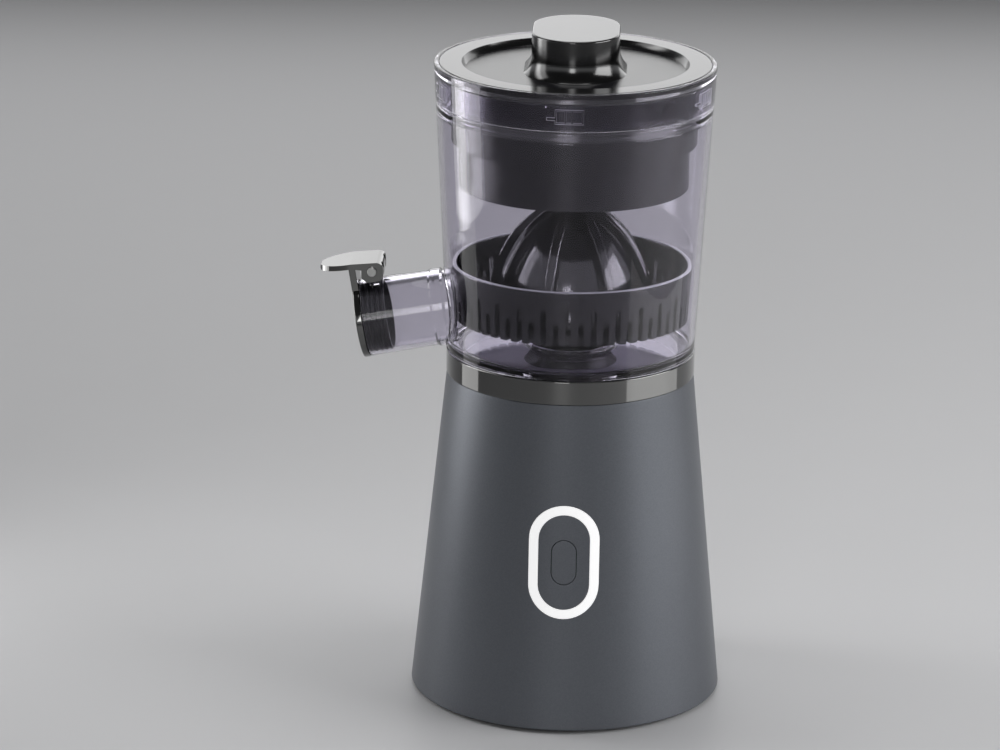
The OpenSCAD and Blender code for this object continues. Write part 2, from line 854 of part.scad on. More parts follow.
module hinge_pin() {
    color(STEEL) in_spout() on_pivot() {
        cylinder(r = pin_r, h = lever_w + 1, center = true);
        difference() {
            translate([0, 0, lever_w / 2 + touch - eps]) cylinder(r = 2.05, h = 1.2);
            translate([-1.4, -0.3, lever_w / 2 + 0.8]) cube([2.8, 0.6, 2]);
        }
        translate([0, 0, -lever_w / 2 - touch - 1]) cylinder(r = 2.05, h = 1 + eps);
    }
}

// Side outline of the lever in the x-z plane of the object: the tongue and the barrel round the pin
module lever_side() {
    polygon(concat(
        [[tongue_tip, 193.3], [tongue_tip + 0.6, 194.8], [-97.8, 197.3]],
        arc([-86.6, 195.2], 3.1, 90, 0, 6),
        [[-83.5, 191.6], [-84.9, 190], [-90.8, 189], [-93.2, 191.2], [-93.2, 194.6], [-97.8, 195],
        [tongue_tip + 0.9, 192.5]]
    ));
}

// Plan of the lever, with an elliptic tip
module lever_plan() {
    polygon(concat(
        [for (a = [-90:7.5:90]) [tongue_tip + lever_tip * (1 - cos(a)), lever_w / 2 * sin(a)]],
        [[-80, lever_w / 2], [-80, -lever_w / 2]]
    ));
}

module spout_flap() {
    z0 = spout_len + 0.2;
    color(CHROME) difference() {
        union() {
            intersection() {
                translate([0, lever_w, 0]) rotate([90, 0, 0]) linear_extrude(2 * lever_w) lever_side();
                linear_extrude(300) lever_plan();
            }
            in_spout() {
                rod(disc_r, z0, z0 + disc_t);
                translate([0, -lever_web / 2, z0]) cube([lever_web_h, lever_web, disc_t]);
            }
        }
        in_spout() {
            on_pivot() cylinder(r = pin_r + run, h = 40, center = true);
            for (s = [-1, 1]) ear_slot(s);
        }
    }
}

// ---- Filter, cone and spindle ----------------------------------------------------

module filter_basket() {
    in1 = filter_r - filter_wall;
    bottom = filter_r - 1.6;
    color(CHARCOAL) difference() {
        rotate_extrude() polygon([
            [collar_in, collar_z], [collar_out - 0.8, collar_z], [collar_out, collar_z + 0.8],
            [collar_out, filter_z[0]], [bottom - 0.6, filter_z[0]], [bottom, filter_z[0] + 0.6],
            [filter_r, filter_z[2] - 0.6], [filter_r - 0.6, filter_z[2]],
            [in1 + 0.5, filter_z[2]], [in1, filter_z[2] - 0.5],
            [bottom - filter_wall, filter_z[1] + 1.5], [bottom - filter_wall - 1.5, filter_z[1]],
            [collar_in, filter_z[1]],
        ]);
        for (i = [0:slots - 1]) rotate(360 / slots * i) {
            top = slot_top[i % 2];
            translate([-slot_w / 2, -filter_r - 5, filter_z[0] - 1])
                cube([slot_w, filter_r + 5 - slot_in, top - slot_w / 2 - filter_z[0] + 1]);
            translate([0, -filter_r - 5, top - slot_w / 2]) rotate([-90, 0, 0])
                cylinder(d = slot_w, h = filter_r + 5 - slot_in);
        }
    }
}

module drive_spindle() {
    color(CHARCOAL) difference() {
        union() {
            rod(spindle_r, spindle_z[0], spindle_z[1]);
            rod(spindle_r + 3, tower_z + 0.2, spindle_z[1]);
        }
        hexbar(hex_in, spindle_z[0] - 1, spindle_z[1] + 1);
    }
}

// Half outline of a domed body: an ellipse of radius a and height b over the level mid
function dome_points(a, b, mid, z0, n = 16) =
    let (t0 = asin((z0 - mid) / b))
    [for (i = [0:n]) let (t = t0 + (90 - t0) * i / n) [a * cos(t), mid + b * sin(t)]];

module dome_body(a, b, mid, z0) {
    rotate_extrude() polygon(concat([[0, z0]], dome_points(a, b, mid, z0)));
}

module cone() {
    core_a = cone_r - rib_out;
    core_b = cone_h - rib_out;
    color(CHARCOAL) difference() {
        union() {
            dome_body(core_a, core_b, cone_mid, cone_z0);
            tube(cone_r - 0.4, core_a - 2, cone_z0, cone_z0 + 2.4);
            intersection() {
                dome_body(cone_r, cone_h, cone_mid, cone_z0);
                for (i = [0:cone_ribs - 1]) rotate(cone_phase + 360 / cone_ribs * i)
                    translate([-rib_w / 2, -cone_r - 1, cone_z0]) cube([rib_w, cone_r + 1, cone_h]);
            }
        }
        difference() {
            translate([0, 0, -eps]) dome_body(core_a - cone_skin, core_b - cone_skin, cone_mid, cone_z0);
            tube(core_a, tower_r + slide_gap, web_z[0], web_z[1]);
            tube(nut_r, tower_r + slide_gap, cone_z0, nut_top);
            rod(8.5, 217, 230);
        }
        hexbar(hex_out, stem_z[0], stem_z[1]);
        rod(stud_r, stem_z[1] - 1, stem_z[2]);
    }
}

module cone_stem() {
    color(STEEL) {
        hexbar(hex_out, stem_z[0], stem_z[1]);
        rod(stud_r, stem_z[1] - 1, stem_z[2]);
    }
}

// ---- Lid ------------------------------------------------------------------------

module lid_gasket() {
    color(RUBBER) tube(neck_r + 0.6, neck_in + 0.2, neck_z + 0.1, shelf_z - touch);
}

module lid_ring() {
    color(CLEAR) {
        rotate_extrude() polygon([
            [skirt_in, seam_z + 0.2], [jar_r1 + 0.1, seam_z + 0.2],
            [rim_r, lid_z - 0.8], [rim_r - 0.6, lid_z],
            [rim_in, lid_z], [rim_in, plate_z0], [shelf_in, plate_z0], [shelf_in, shelf_z],
            [skirt_in, shelf_z],
        ]);
        for (i = [0:bayonets - 1]) rotate(360 / bayonets * i) lug();
    }
}

// A block between two radii, two distances across the front and two heights
module curved_block(r_in, r_out, x0, x1, z0, z1) {
    intersection() {
        tube(r_out, r_in, z0, z1);
        translate([x0, -r_out - 1, z0 - 1]) cube([x1 - x0, r_out, z1 - z0 + 2]);
    }
}

// A bayonet lug inside the skirt, with three pockets in its inner face and a thin tip at its side
module lug() {
    x0 = skirt_in * sin(lug_angle[0]);
    x1 = skirt_in * sin(lug_angle[1]);
    walls = concat([x0 + lug_wall / 2], [for (a = lug_webs) skirt_in * sin(a)], [x1 - lug_wall / 2]);
    difference() {
        curved_block(lug_in, skirt_in + 0.3, x0, x1, lug_z[0], lug_z[1]);
        for (i = [0:len(walls) - 2])
            curved_block(
                lug_in - 1, lug_in + lug_pocket, walls[i] + lug_wall / 2, walls[i + 1] - lug_wall / 2,
                lug_z[0] + lug_wall, lug_z[1] - lug_wall
            );
    }
    curved_block(lug_in, skirt_in + 0.3, skirt_in * sin(lug_tip[0]), x0 + eps, lug_tip[1], lug_tip[2]);
}

// Half outline of the knob's wall, from the axis out, z up
function knob_points(r, z0, z1, fillet, edge) = concat(
    [[0, z0]],
    fillet > 0 ? arc([r + fillet, z0 + fillet], fillet, 270, 180, 10) : [[r, z0]],
    edge > 0 ? arc([r - edge, z1 - edge], edge, 0, 90, 4) : [[r, z1]],
    [[0, z1]]
);

// The knob's body: two round ends and a straight middle of one outline
module knob_form(grow, z0, z1, fillet, edge) {
    r = knob_w / 2 + grow;
    half = (knob_l - knob_w) / 2;
    for (s = [-1, 1]) translate([0, s * half, 0])
        rotate_extrude() polygon(knob_points(r, z0, z1, fillet, edge));
    translate([0, half, 0]) rotate([90, 0, 0]) linear_extrude(2 * half) {
        polygon(knob_points(r, z0, z1, fillet, edge));
        mirror([1, 0]) polygon(knob_points(r, z0, z1, fillet, edge));
    }
}

module lid_plate() {
    under = dish_z - 1.6;
    depth = lid_z - dish_z;
    a0 = acos((dish_curve - depth) / dish_curve);
    dish = arc([dish_r - dish_curve * sin(a0), dish_z + dish_curve], dish_curve, 270, 270 + a0, 8);
    color(CHROME) difference() {
        union() {
            rotate_extrude() polygon(concat(
                [[0, under], [dish_r + 0.6, under], [dish_r + 1.4, under + 0.8], [dish_r + 1.4, plate_z0],
                [plate_r, plate_z0], [plate_r, lid_z - 0.4], [plate_r - 0.4, lid_z]],
                [for (i = [len(dish) - 1:-1:0]) dish[i]],
                [[0, dish_z]]
            ));
            knob_form(0, dish_z - eps, knob_z, knob_fillet, knob_edge);
            four(cup_post) rod(cup_post_r, cup_post_z + touch, under + eps);
        }
        knob_form(-knob_wall, under - 1, knob_z - knob_wall, 0, 0);
        four(cup_post) rod(cup_thread_r, cup_post_z - 1, under);
    }
}

module press_cup() {
    color(CHARCOAL) difference() {
        union() {
            cup_shell();
            four(cup_post) rod(cup_post_r, cup_z0 + 20, cup_post_z);
        }
        intersection() {
            dome_hollow();
            four(cup_post) rod(cup_post_r + 1, cup_z0, cup_seat_z);
        }
        four(cup_post) {
            rod(screw_r, cup_z0, cup_post_z + 1);
            rod(screw_head_r + 0.2, cup_z0, cup_seat_z);
        }
    }
    color(CHARCOAL) intersection() {
        difference() {
            dome_hollow(0.3);
            translate([0, 0, cup_z0]) dome_body(dome_ribs[0], dome_ribs[1], 0, -5);
            four(cup_post) rod(screw_head_r + 1.5, cup_z0, cup_seat_z);
        }
        for (i = [0:cup_ribs - 1]) rotate(360 / cup_ribs * i)
            translate([-cup_rib_w / 2, -60, cup_z0 - cup_rib_dip]) cube([cup_rib_w, 60, 40]);
    }
}

// The hollow that goes over the fruit, grown by g
module dome_hollow(g = 0) {
    rotate_extrude() polygon(concat(
        [[0, cup_z0 - cup_rib_dip], [dome[0] + g, cup_z0 - cup_rib_dip]],
        dome_points(dome[0] + g, dome[1] + g, cup_z0, cup_z0)
    ));
}

module cup_shell() {
    outer_a = dome[0] + cup_wall;
    difference() {
        rotate_extrude() polygon([
            [0, cup_z0], [cup_r - 0.5, cup_z0], [cup_r, cup_z0 + 0.5], [cup_r, cup_step_z],
            [cup_ring_r - 0.5, cup_step_z], [cup_ring_r, cup_step_z + 0.5],
            [cup_ring_r, shelf_z - 2.2], [cup_flange_r, shelf_z - 2.2], [cup_flange_r, shelf_z - touch],
            [cup_ring_r, shelf_z - touch], [cup_ring_r, plate_z0 - touch], [0, plate_z0 - touch],
        ]);
        dome_hollow();
        difference() {
            rotate_extrude() polygon([
                [0, cup_z0 + 4], [cup_r - cup_wall, cup_z0 + 4], [cup_r - cup_wall, cup_step_z + cup_wall],
                [cup_ring_r - cup_wall, cup_step_z + cup_wall], [cup_ring_r - cup_wall, 300], [0, 300],
            ]);
            rotate_extrude() polygon(concat(
                [[0, cup_z0], [outer_a, cup_z0]], dome_points(outer_a, dome[1] + cup_wall, cup_z0, cup_z0)
            ));
        }
    }
}

module cup_screws() {
    color(STEEL) four(cup_post) translate([0, 0, cup_seat_z])
        screw(cup_thread_r, 19.5, screw_head_r - 0.2, 2);
}

// ---- Nodes -----------------------------------------------------------------------

base_housing();
bottom_cover();
foot_ring();
cover_screws();
chrome_band();
top_deck();
light_ring();
control_panel();
control_board();
ring_leds();
push_switch();
power_button();
cord_gland();
motor_case();
motor_end_cap();
motor_screws();
motor_rotor();
motor_pinion();
gearbox_case();
gearbox_cover();
gearbox_screws();
idler_pin();
idler_gear();
drive_gear();
drive_shaft();
shaft_bushes();
deck_seal();
drive_coupling();
juice_jar();
tower_bushes();
juice_spout();
spout_seal();
hinge_pin();
spout_flap();
filter_basket();
drive_spindle();
cone();
cone_stem();
lid_gasket();
lid_ring();
lid_plate();
press_cup();
cup_screws();
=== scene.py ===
import json
from math import acos, asin, atan, copysign, cos, degrees, hypot, pi, radians, sin, sqrt, tan

import bpy
from bpy.props import FloatProperty, FloatVectorProperty, IntProperty, PointerProperty
from mathutils import Matrix, Vector


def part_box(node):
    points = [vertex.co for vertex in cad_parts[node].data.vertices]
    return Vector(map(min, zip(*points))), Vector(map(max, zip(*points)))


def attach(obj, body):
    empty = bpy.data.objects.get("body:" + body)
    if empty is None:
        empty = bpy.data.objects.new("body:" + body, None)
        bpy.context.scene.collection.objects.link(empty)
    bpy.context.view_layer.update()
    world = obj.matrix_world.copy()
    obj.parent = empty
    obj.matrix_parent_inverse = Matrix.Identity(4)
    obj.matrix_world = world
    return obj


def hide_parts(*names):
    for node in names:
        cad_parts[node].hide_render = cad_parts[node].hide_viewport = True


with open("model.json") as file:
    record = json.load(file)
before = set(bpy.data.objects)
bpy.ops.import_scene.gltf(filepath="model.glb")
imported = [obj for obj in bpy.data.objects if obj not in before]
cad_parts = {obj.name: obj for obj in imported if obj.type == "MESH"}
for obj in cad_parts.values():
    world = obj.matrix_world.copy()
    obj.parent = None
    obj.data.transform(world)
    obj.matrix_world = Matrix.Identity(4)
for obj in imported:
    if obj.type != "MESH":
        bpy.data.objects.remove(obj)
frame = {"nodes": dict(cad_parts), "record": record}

bl_info = {
    "name": "Citrus press juicer",
    "version": (1, 0, 0),
    "blender": (4, 5, 0),
    "location": "View3D > Sidebar > Juicer",
    "description": "Models the visible pieces of a citrus press round its frame and finishes them",
    "category": "Add Mesh",
}

MM = 0.001                # metres in a millimetre: meshes are in metres, arguments in millimetres
TURN_STEPS = 180          # faces round a turned piece
MERGE = 1e-6              # points nearer than this, in metres, are one point
RELIEF = 0.0002           # depth of the finest bumps, in metres
CLEAR_IOR = 1.33          # index of the clear plastic


# ---- Sizes taken from the frame, in millimetres --------------------------------


def extent(node):
    """How far a node of the frame reaches along x, and its lowest and highest z."""
    low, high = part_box(node)
    return high[0] / MM, low[2] / MM, high[2] / MM


BASE_R, BASE_Z0, BASE_Z1 = extent("base_housing")
BAND_R, _, BAND_Z1 = extent("chrome_band")
DECK_R = extent("top_deck")[0]
_, DECK_Z1, JAR_Z1 = extent("juice_jar")
LID_R, LID_Z0, LID_Z1 = extent("lid_ring")
PLATE_R, _, KNOB_Z1 = extent("lid_plate")
PLATE_Z0 = LID_Z1 - 2.7
FILTER_R, FILTER_Z0, FILTER_Z1 = extent("filter_basket")
CUP_Z0 = extent("press_cup")[1]
CONE_Z0 = extent("cone")[1]

# The tapered wall of the base, and where the ring's centre is on it
BASE_TOP_R = 55.2
SLOPE = (BASE_R - BASE_TOP_R) / (BASE_Z1 - BASE_Z0)
LEAN = atan(SLOPE)
RING_Z = sum(extent("light_ring")[1:]) / 2 - 0.5

# The jar's wall from the band to the lid
JAR_R0 = 55.3
JAR_R1 = 61.4
SEAM_Z = LID_Z0 - 0.2
JAR_Z0 = BAND_Z1 + 0.1
JAR_WALL = 2.4

# Keys of the jar's foot, in notches of the deck: angle from the front in degrees, and width
FOOT_R = 50.2
FOOT_KEYS = ((-34, 4.0), (-23, 6.0))
KEY_TURNS = (0, 120, 240)

# Turns of the lid's lugs and of the rails in the jar's neck that hold them, in degrees
LUG_TURNS = range(0, 360, 72)

# The spout's axis leaves the drive axis at this height and runs down to -X
SPOUT_Z = 186.1
SPOUT_SLOPE = radians(10)
SPOUT_R = 17.4
SPOUT_ROOT_R = 16.75
SPOUT_BORE = 15.0
SPOUT_LEN = 93.0
PIVOT = (23.3, 85.75)


# ---- Sizes and colours that a user would change ---------------------------------


def length(title, words, value):
    """A size in metres, from a value in millimetres."""
    return FloatProperty(name=title, description=words, default=value * MM, min=0, unit="LENGTH")


def colour(title, words, value):
    """A linear colour."""
    return FloatVectorProperty(
        name=title, description=words, default=value, size=3, min=0, max=1, subtype="COLOR"
    )


class JuicerSizes(bpy.types.PropertyGroup):
    """Sizes of the forms that the frame leaves open."""

    ring_width: length("Ring width", "Outside width of the light ring", 31.0)
    ring_height: length("Ring height", "Outside height of the light ring", 51.0)
    ring_band: length("Ring band", "Width of the lit band", 4.1)
    button_width: length("Button width", "Width of the start button", 10.8)
    button_height: length("Button height", "Height of the start button", 19.8)
    knob_width: length("Knob width", "Width of the knob between its flats", 38.4)
    knob_length: length("Knob length", "Length of the knob over its round ends", 55.4)
    dish_radius: length("Dish radius", "Radius of the dish round the knob", 50.2)
    cone_radius: length("Cone radius", "Radius of the cone over its ribs", 39.0)
    rib_width: length("Rib width", "Width of a rib of the cone", 4.4)
    rib_height: length("Rib height", "How far a rib stands out of the cone", 4.8)
    cone_ribs: IntProperty(name="Cone ribs", description="Number of ribs on the cone", default=8, min=3)
    cup_ribs: IntProperty(name="Cup ribs", description="Number of ribs in the press cup", default=16, min=4)
    slots: IntProperty(name="Slots", description="Number of slots round the filter", default=60, min=6)


class JuicerColours(bpy.types.PropertyGroup):
    """Colours of the finishes."""

    slate: colour("Slate", "Satin paint of the base", (0.118, 0.126, 0.142))
    chrome: colour("Dark chrome", "Band and spout flap", (0.16, 0.16, 0.157))
    polished: colour("Polished lid", "Lid plate with its knob", (0.08, 0.08, 0.08))
    smoke: colour("Smoke", "Clear jar, spout and lid ring", (0.80, 0.78, 0.85))
    charcoal: colour("Charcoal", "Cup, filter and cone", (0.009, 0.0087, 0.0107))
    # The deck's colour is painted light: a lighter grey that stands in for the light seen on the jar's
    # floor above it.
    deck: colour("Deck", "Floor of the deck under the jar", (0.26, 0.25, 0.29))
    rubber: colour("Rubber", "Seals and foot", (0.012, 0.012, 0.013))
    glow: colour("Glow", "Lit ring", (1.0, 1.0, 1.0))


# ---- Small helpers for modelling by operator ---------------------------------------


def deselect():
    """Leaves edit mode and clears the selection."""
    if bpy.context.object and bpy.context.object.mode != "OBJECT":
        bpy.ops.object.mode_set(mode="OBJECT")
    bpy.ops.object.select_all(action="DESELECT")


def select_only(piece):
    """Makes piece the one selected and active object."""
    deselect()
    piece.select_set(True)
    bpy.context.view_layer.objects.active = piece


def close_up(piece, fill=False):
    """Merges doubles, fills open ends if asked, and turns all faces outwards."""
    select_only(piece)
    bpy.ops.object.mode_set(mode="EDIT")
    bpy.ops.mesh.select_all(action="SELECT")
    bpy.ops.mesh.remove_doubles(threshold=MERGE)
    bpy.ops.mesh.delete_loose()
    bpy.ops.mesh.select_all(action="SELECT")
    if fill:
        bpy.ops.mesh.fill_holes(sides=0)
        bpy.ops.mesh.select_all(action="SELECT")
    bpy.ops.mesh.normals_make_consistent(inside=False)
    bpy.ops.object.mode_set(mode="OBJECT")
    return piece


def arc(centre, radius, start, end, steps=8):
    """Points on an arc, angles in degrees."""
    angles = [radians(start + (end - start) * i / steps) for i in range(steps + 1)]
    return [(centre[0] + radius * cos(a), centre[1] + radius * sin(a)) for a in angles]


def ellipse(radius, height, middle, start, end, steps):
    """Points (r, z) of an upright half ellipse, angles in degrees above the level of middle."""
    angles = [radians(start + (end - start) * k / steps) for k in range(steps + 1)]
    return [(radius * cos(a), middle + height * sin(a)) for a in angles]


def rounded(corners, steps=5):
    """A closed outline whose corners (x, y, radius) are rounded; corners (x, y) stay sharp."""
    points = []
    count = len(corners)
    for i, here in enumerate(corners):
        spot = Vector(here[:2])
        radius = here[2] if len(here) > 2 else 0
        if not radius:
            points.append(tuple(spot))
            continue
        before = (Vector(corners[i - 1][:2]) - spot).normalized()
        after = (Vector(corners[(i + 1) % count][:2]) - spot).normalized()
        half = before.angle(after) / 2
        middle = spot + (before + after).normalized() * (radius / sin(half))
        first = spot + before * (radius / tan(half)) - middle
        last = spot + after * (radius / tan(half)) - middle
        sweep = first.angle_signed(last)
        for k in range(steps + 1):
            points.append(tuple(middle + Matrix.Rotation(-sweep * k / steps, 2) @ first))
    return points


def turned(corners, steps=TURN_STEPS):
    """Spins a closed outline of (radius, height[, corner radius]) in millimetres round the Z axis."""
    points = rounded(corners)
    deselect()
    bpy.ops.mesh.primitive_circle_add(vertices=len(points), radius=1)
    piece = bpy.context.object
    for vertex, (r, z) in zip(piece.data.vertices, points):
        vertex.co = (r * MM, 0, z * MM)
    bpy.ops.object.mode_set(mode="EDIT")
    bpy.ops.mesh.select_all(action="SELECT")
    bpy.ops.mesh.spin(steps=steps, angle=2 * pi, center=(0, 0, 0), axis=(0, 0, 1))
    bpy.ops.object.mode_set(mode="OBJECT")
    return close_up(piece)


def lofted(sections, loop=False):
    """Lays a grid through a row of sections, each a ring of points in millimetres."""
    rows = list(sections) + (list(sections[:1]) if loop else [])
    around = len(rows[0])
    along = len(rows) - 1
    deselect()
    bpy.ops.mesh.primitive_grid_add(x_subdivisions=around, y_subdivisions=along, size=1)
    piece = bpy.context.object
    for vertex in piece.data.vertices:
        i = round((vertex.co.x + 0.5) * around) % around
        j = round((vertex.co.y + 0.5) * along)
        vertex.co = Vector(rows[j][i]) * MM
    return close_up(piece, fill=not loop)


def slab(outline, low, high):
    """A flat plate of an outline in x and y, from one height to another."""
    return lofted([[(x, y, z) for x, y in outline] for z in (low, high)])


def box_outline(x0, x1, y0, y1):
    """The four corners of a rectangle."""
    return [(x0, y0), (x1, y0), (x1, y1), (x0, y1)]


def rod(low_r, high_r, low, high, steps=TURN_STEPS):
    """A round bar or cone, from one height to another."""
    return turned([(0, low), (low_r, low), (high_r, high), (0, high)], steps)


def placed(piece, matrix):
    """Moves a piece's mesh by a matrix whose lengths are in millimetres."""
    matrix = matrix.copy()
    matrix.translation *= MM
    select_only(piece)
    piece.matrix_world = matrix
    bpy.ops.object.transform_apply(location=True, rotation=True, scale=True)
    return piece


def modified(piece, kind, **settings):
    """Adds a modifier, sets it and applies it."""
    select_only(piece)
    modifier = piece.modifiers.new(kind.title(), kind)
    for key, value in settings.items():
        setattr(modifier, key, value)
    bpy.ops.object.modifier_apply(modifier=modifier.name)
    return piece


def combined(piece, tool, operation):
    """Cuts (DIFFERENCE), joins (UNION) or keeps the common part (INTERSECT) of two pieces."""
    modified(piece, "BOOLEAN", object=tool, operation=operation, solver="EXACT")
    bpy.data.objects.remove(tool)
    return piece


def joined(pieces):
    """Several loose pieces as one object."""
    deselect()
    for piece in pieces:
        piece.select_set(True)
    bpy.context.view_layer.objects.active = pieces[0]
    bpy.ops.object.join()
    return bpy.context.object


def softened(piece, width, angle=35):
    """Rounds a piece's sharp edges by a width in millimetres."""
    return modified(
        piece, "BEVEL", width=width * MM, segments=2, limit_method="ANGLE",
        angle_limit=radians(angle), harden_normals=False, use_clamp_overlap=True,
    )


def turned_copy(piece, angle):
    """A copy of a piece, turned round the Z axis by an angle in degrees."""
    twin = piece.copy()
    twin.data = piece.data.copy()
    bpy.context.scene.collection.objects.link(twin)
    return placed(twin, Matrix.Rotation(radians(angle), 4, "Z"))


def copies(piece, turns):
    """Copies of a piece turned by each angle in degrees, as one object that takes its place."""
    pieces = [turned_copy(piece, angle) for angle in turns]
    bpy.data.objects.remove(piece)
    return joined(pieces)


def settled(piece, name, body, material, node, angle=32):
    """Smooths a piece, names it, paints it and sets it on its body in place of a frame's node."""
    select_only(piece)
    bpy.ops.object.shade_smooth_by_angle(angle=radians(angle))
    modified(piece, "WEIGHTED_NORMAL", keep_sharp=True, weight=80)
    piece.name = name
    piece.data.name = name
    piece.data.materials.clear()
    piece.data.materials.append(material)
    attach(piece, body)
    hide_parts(node)


def second_finish(piece, material, wanted):
    """Paints the faces for which wanted says so, from their centre in millimetres and normal."""
    piece.data.materials.append(material)
    for face in piece.data.polygons:
        if wanted(face.center / MM, face.normal):
            face.material_index = 1


# ---- Frames of the tapered wall and of the spout ------------------------------------


def wall_r(z):
    """Radius of the base's wall at a height."""
    return BASE_R - SLOPE * (z - BASE_Z0)


def jar_r(z):
    """Outside radius of the jar at a height."""
    return JAR_R0 + (JAR_R1 - JAR_R0) * (z - JAR_Z0) / (SEAM_Z - JAR_Z0)


def wrapped_on_wall(piece):
    """Lays a flat piece on the tapered wall: x across, y up the wall, z out of it."""
    up = Vector((0, sin(LEAN), cos(LEAN)))
    out = Vector((0, -cos(LEAN), sin(LEAN)))
    origin = Vector((0, -wall_r(RING_Z), RING_Z))
    for vertex in piece.data.vertices:
        x, y, depth = vertex.co / MM
        bend = (wall_r(RING_Z) - y * sin(LEAN)) / cos(LEAN)
        rise = sqrt((bend + depth) ** 2 - x * x) - bend
        vertex.co = (origin + Vector((x, 0, 0)) + up * y + out * rise) * MM
    return piece


def wrapped_round(piece, radius):
    """Lays a flat piece round the Z axis: x along the arc, y up, z out of the cylinder."""
    for vertex in piece.data.vertices:
        x, y, depth = vertex.co / MM
        angle, reach = x / radius, radius + depth
        vertex.co = Vector((reach * sin(angle), -reach * cos(angle), y)) * MM
    return piece


def curved_block(radius, span, heights, depths, steps=6):
    """A block on a cylinder: its span along the arc, its heights, and its depths out of the surface."""
    (low, high), (back, front) = heights, depths
    along = [span[0] + (span[1] - span[0]) * k / steps for k in range(steps + 1)]
    sections = [[(x, low, back), (x, low, front), (x, high, front), (x, high, back)] for x in along]
    return wrapped_round(lofted(sections), radius)


def foot_keys(gap=0.0):
    """The keys of the jar's foot, or with a gap the notches that they drop into."""
    low = DECK_Z1 if gap else DECK_Z1 + 1.5
    groups = []
    for angle, width in FOOT_KEYS:
        half = width / 2 + gap
        key = curved_block(FOOT_R, (-half, half), (low, JAR_Z0 + 0.5), (-0.3, 1.9 + 2 * gap))
        groups.append(copies(key, [angle + turn for turn in KEY_TURNS]))
    return joined(groups)


def spout_frame():
    """Local z runs out along the spout's axis and local x up from it."""
    return Matrix.Translation((0, 0, SPOUT_Z)) @ Matrix.Rotation(-pi / 2 - SPOUT_SLOPE, 4, "Y")


def pivot_frame():
    """The spout's frame, moved to the flap's pin, which lies along its y."""
    return spout_frame() @ Matrix.Translation((PIVOT[0], 0, PIVOT[1]))


def along_pin():
    """A frame at the flap's pin whose z runs along the pin."""
    return pivot_frame() @ Matrix.Rotation(-pi / 2, 4, "X")


def stadium(width, height, steps=24):
    """Points of a slot shape with round ends, standing along y."""
    r, half = width / 2, (height - width) / 2
    return arc((0, half), r, 0, 180, steps) + arc((0, -half), r, 180, 360, steps)


def wall_matrix():
    """Frame of the tapered wall at the ring's centre: local z out of it, local y up it."""
    centre = Matrix.Translation((0, -wall_r(RING_Z), RING_Z))
    return centre @ Matrix.Rotation(pi / 2 - LEAN, 4, "X")


def wall_plate(width, height, thick, inner=None, steps=5):
    """A stadium plate or ring that follows the tapered wall, from its face inwards."""
    hole = inner or (width * 0.12, height - width * 0.88)
    rows = []
    for k in range(steps + 1):
        share = k / steps
        w = hole[0] + (width - hole[0]) * share
        h = hole[1] + (height - hole[1]) * share
        rows.append([(x, y, 0) for x, y in stadium(w, h)])
    under = [[(x, y, -thick) for x, y, _ in row] for row in reversed(rows)]
    return wrapped_on_wall(lofted(rows + under, loop=inner is not None))


def arc_bar(path, radius, depth, thickness, sunk=0.3):
    """A bar along a path of (angle in degrees, height) on a cylinder, standing out of it."""
    points = [Vector((radians(angle) * radius, z)) for angle, z in path]
    sections = []
    for i, point in enumerate(points):
        run = (points[min(i + 1, len(points) - 1)] - points[max(i - 1, 0)]).normalized()
        across = Vector((-run.y, run.x)) * thickness / 2
        low, high = point - across, point + across
        sections.append([(*low, -sunk), (*low, depth), (*high, depth), (*high, -sunk)])
    return wrapped_round(lofted(sections), radius)


# ---- Finishes ------------------------------------------------------------------------


def new_group(name, inputs, outputs):
    """A shader node group, with the sockets inside it that give its inputs and take its outputs."""
    tree = bpy.data.node_groups.new(name, "ShaderNodeTree")
    for title, value in inputs.items():
        kind = "NodeSocketColor" if title == "Colour" else "NodeSocketFloat"
        tree.interface.new_socket(title, in_out="INPUT", socket_type=kind).default_value = value
    for title in outputs:
        kind = "NodeSocketColor" if title == "Colour" else "NodeSocketFloat"
        tree.interface.new_socket(title, in_out="OUTPUT", socket_type=kind)
    return tree, tree.nodes.new("NodeGroupInput").outputs, tree.nodes.new("NodeGroupOutput").inputs


def add_node(tree, kind, inputs=None, **settings):
    """Adds a shader node; each of its inputs gets a plain value or the socket that feeds it."""
    node = tree.nodes.new("ShaderNode" + kind)
    for key, value in settings.items():
        setattr(node, key, value)
    for key, value in (inputs or {}).items():
        if isinstance(value, bpy.types.NodeSocket):
            tree.links.new(value, node.inputs[key])
        else:
            node.inputs[key].default_value = value
    return node


def wandering(tree, ins, place, scale, detail):
    """A roughness that wanders round its value from place to place."""
    wide = add_node(tree, "TexNoise", {"Vector": place, "Scale": scale, "Detail": detail})
    centred = add_node(tree, "Math", {0: wide.outputs["Fac"], 1: 0.5}, operation="SUBTRACT")
    total = add_node(tree, "Math", {0: centred.outputs[0], 1: ins["Wander"], 2: ins["Roughness"]},
                     operation="MULTIPLY_ADD")
    return total.outputs[0]


def moulded_grain():
    """Fine grain of moulded or sprayed surfaces: a height, and a roughness that wanders."""
    if "Moulded grain" in bpy.data.node_groups:
        return bpy.data.node_groups["Moulded grain"]
    tree, ins, outs = new_group(
        "Moulded grain", {"Scale": 900.0, "Roughness": 0.4, "Wander": 0.05}, ("Height", "Roughness")
    )
    place = add_node(tree, "TexCoord").outputs["Object"]
    fine = add_node(tree, "TexNoise", {"Vector": place, "Scale": ins["Scale"], "Detail": 3})
    tree.links.new(fine.outputs["Fac"], outs["Height"])
    tree.links.new(wandering(tree, ins, place, 22, 4), outs["Roughness"])
    return tree


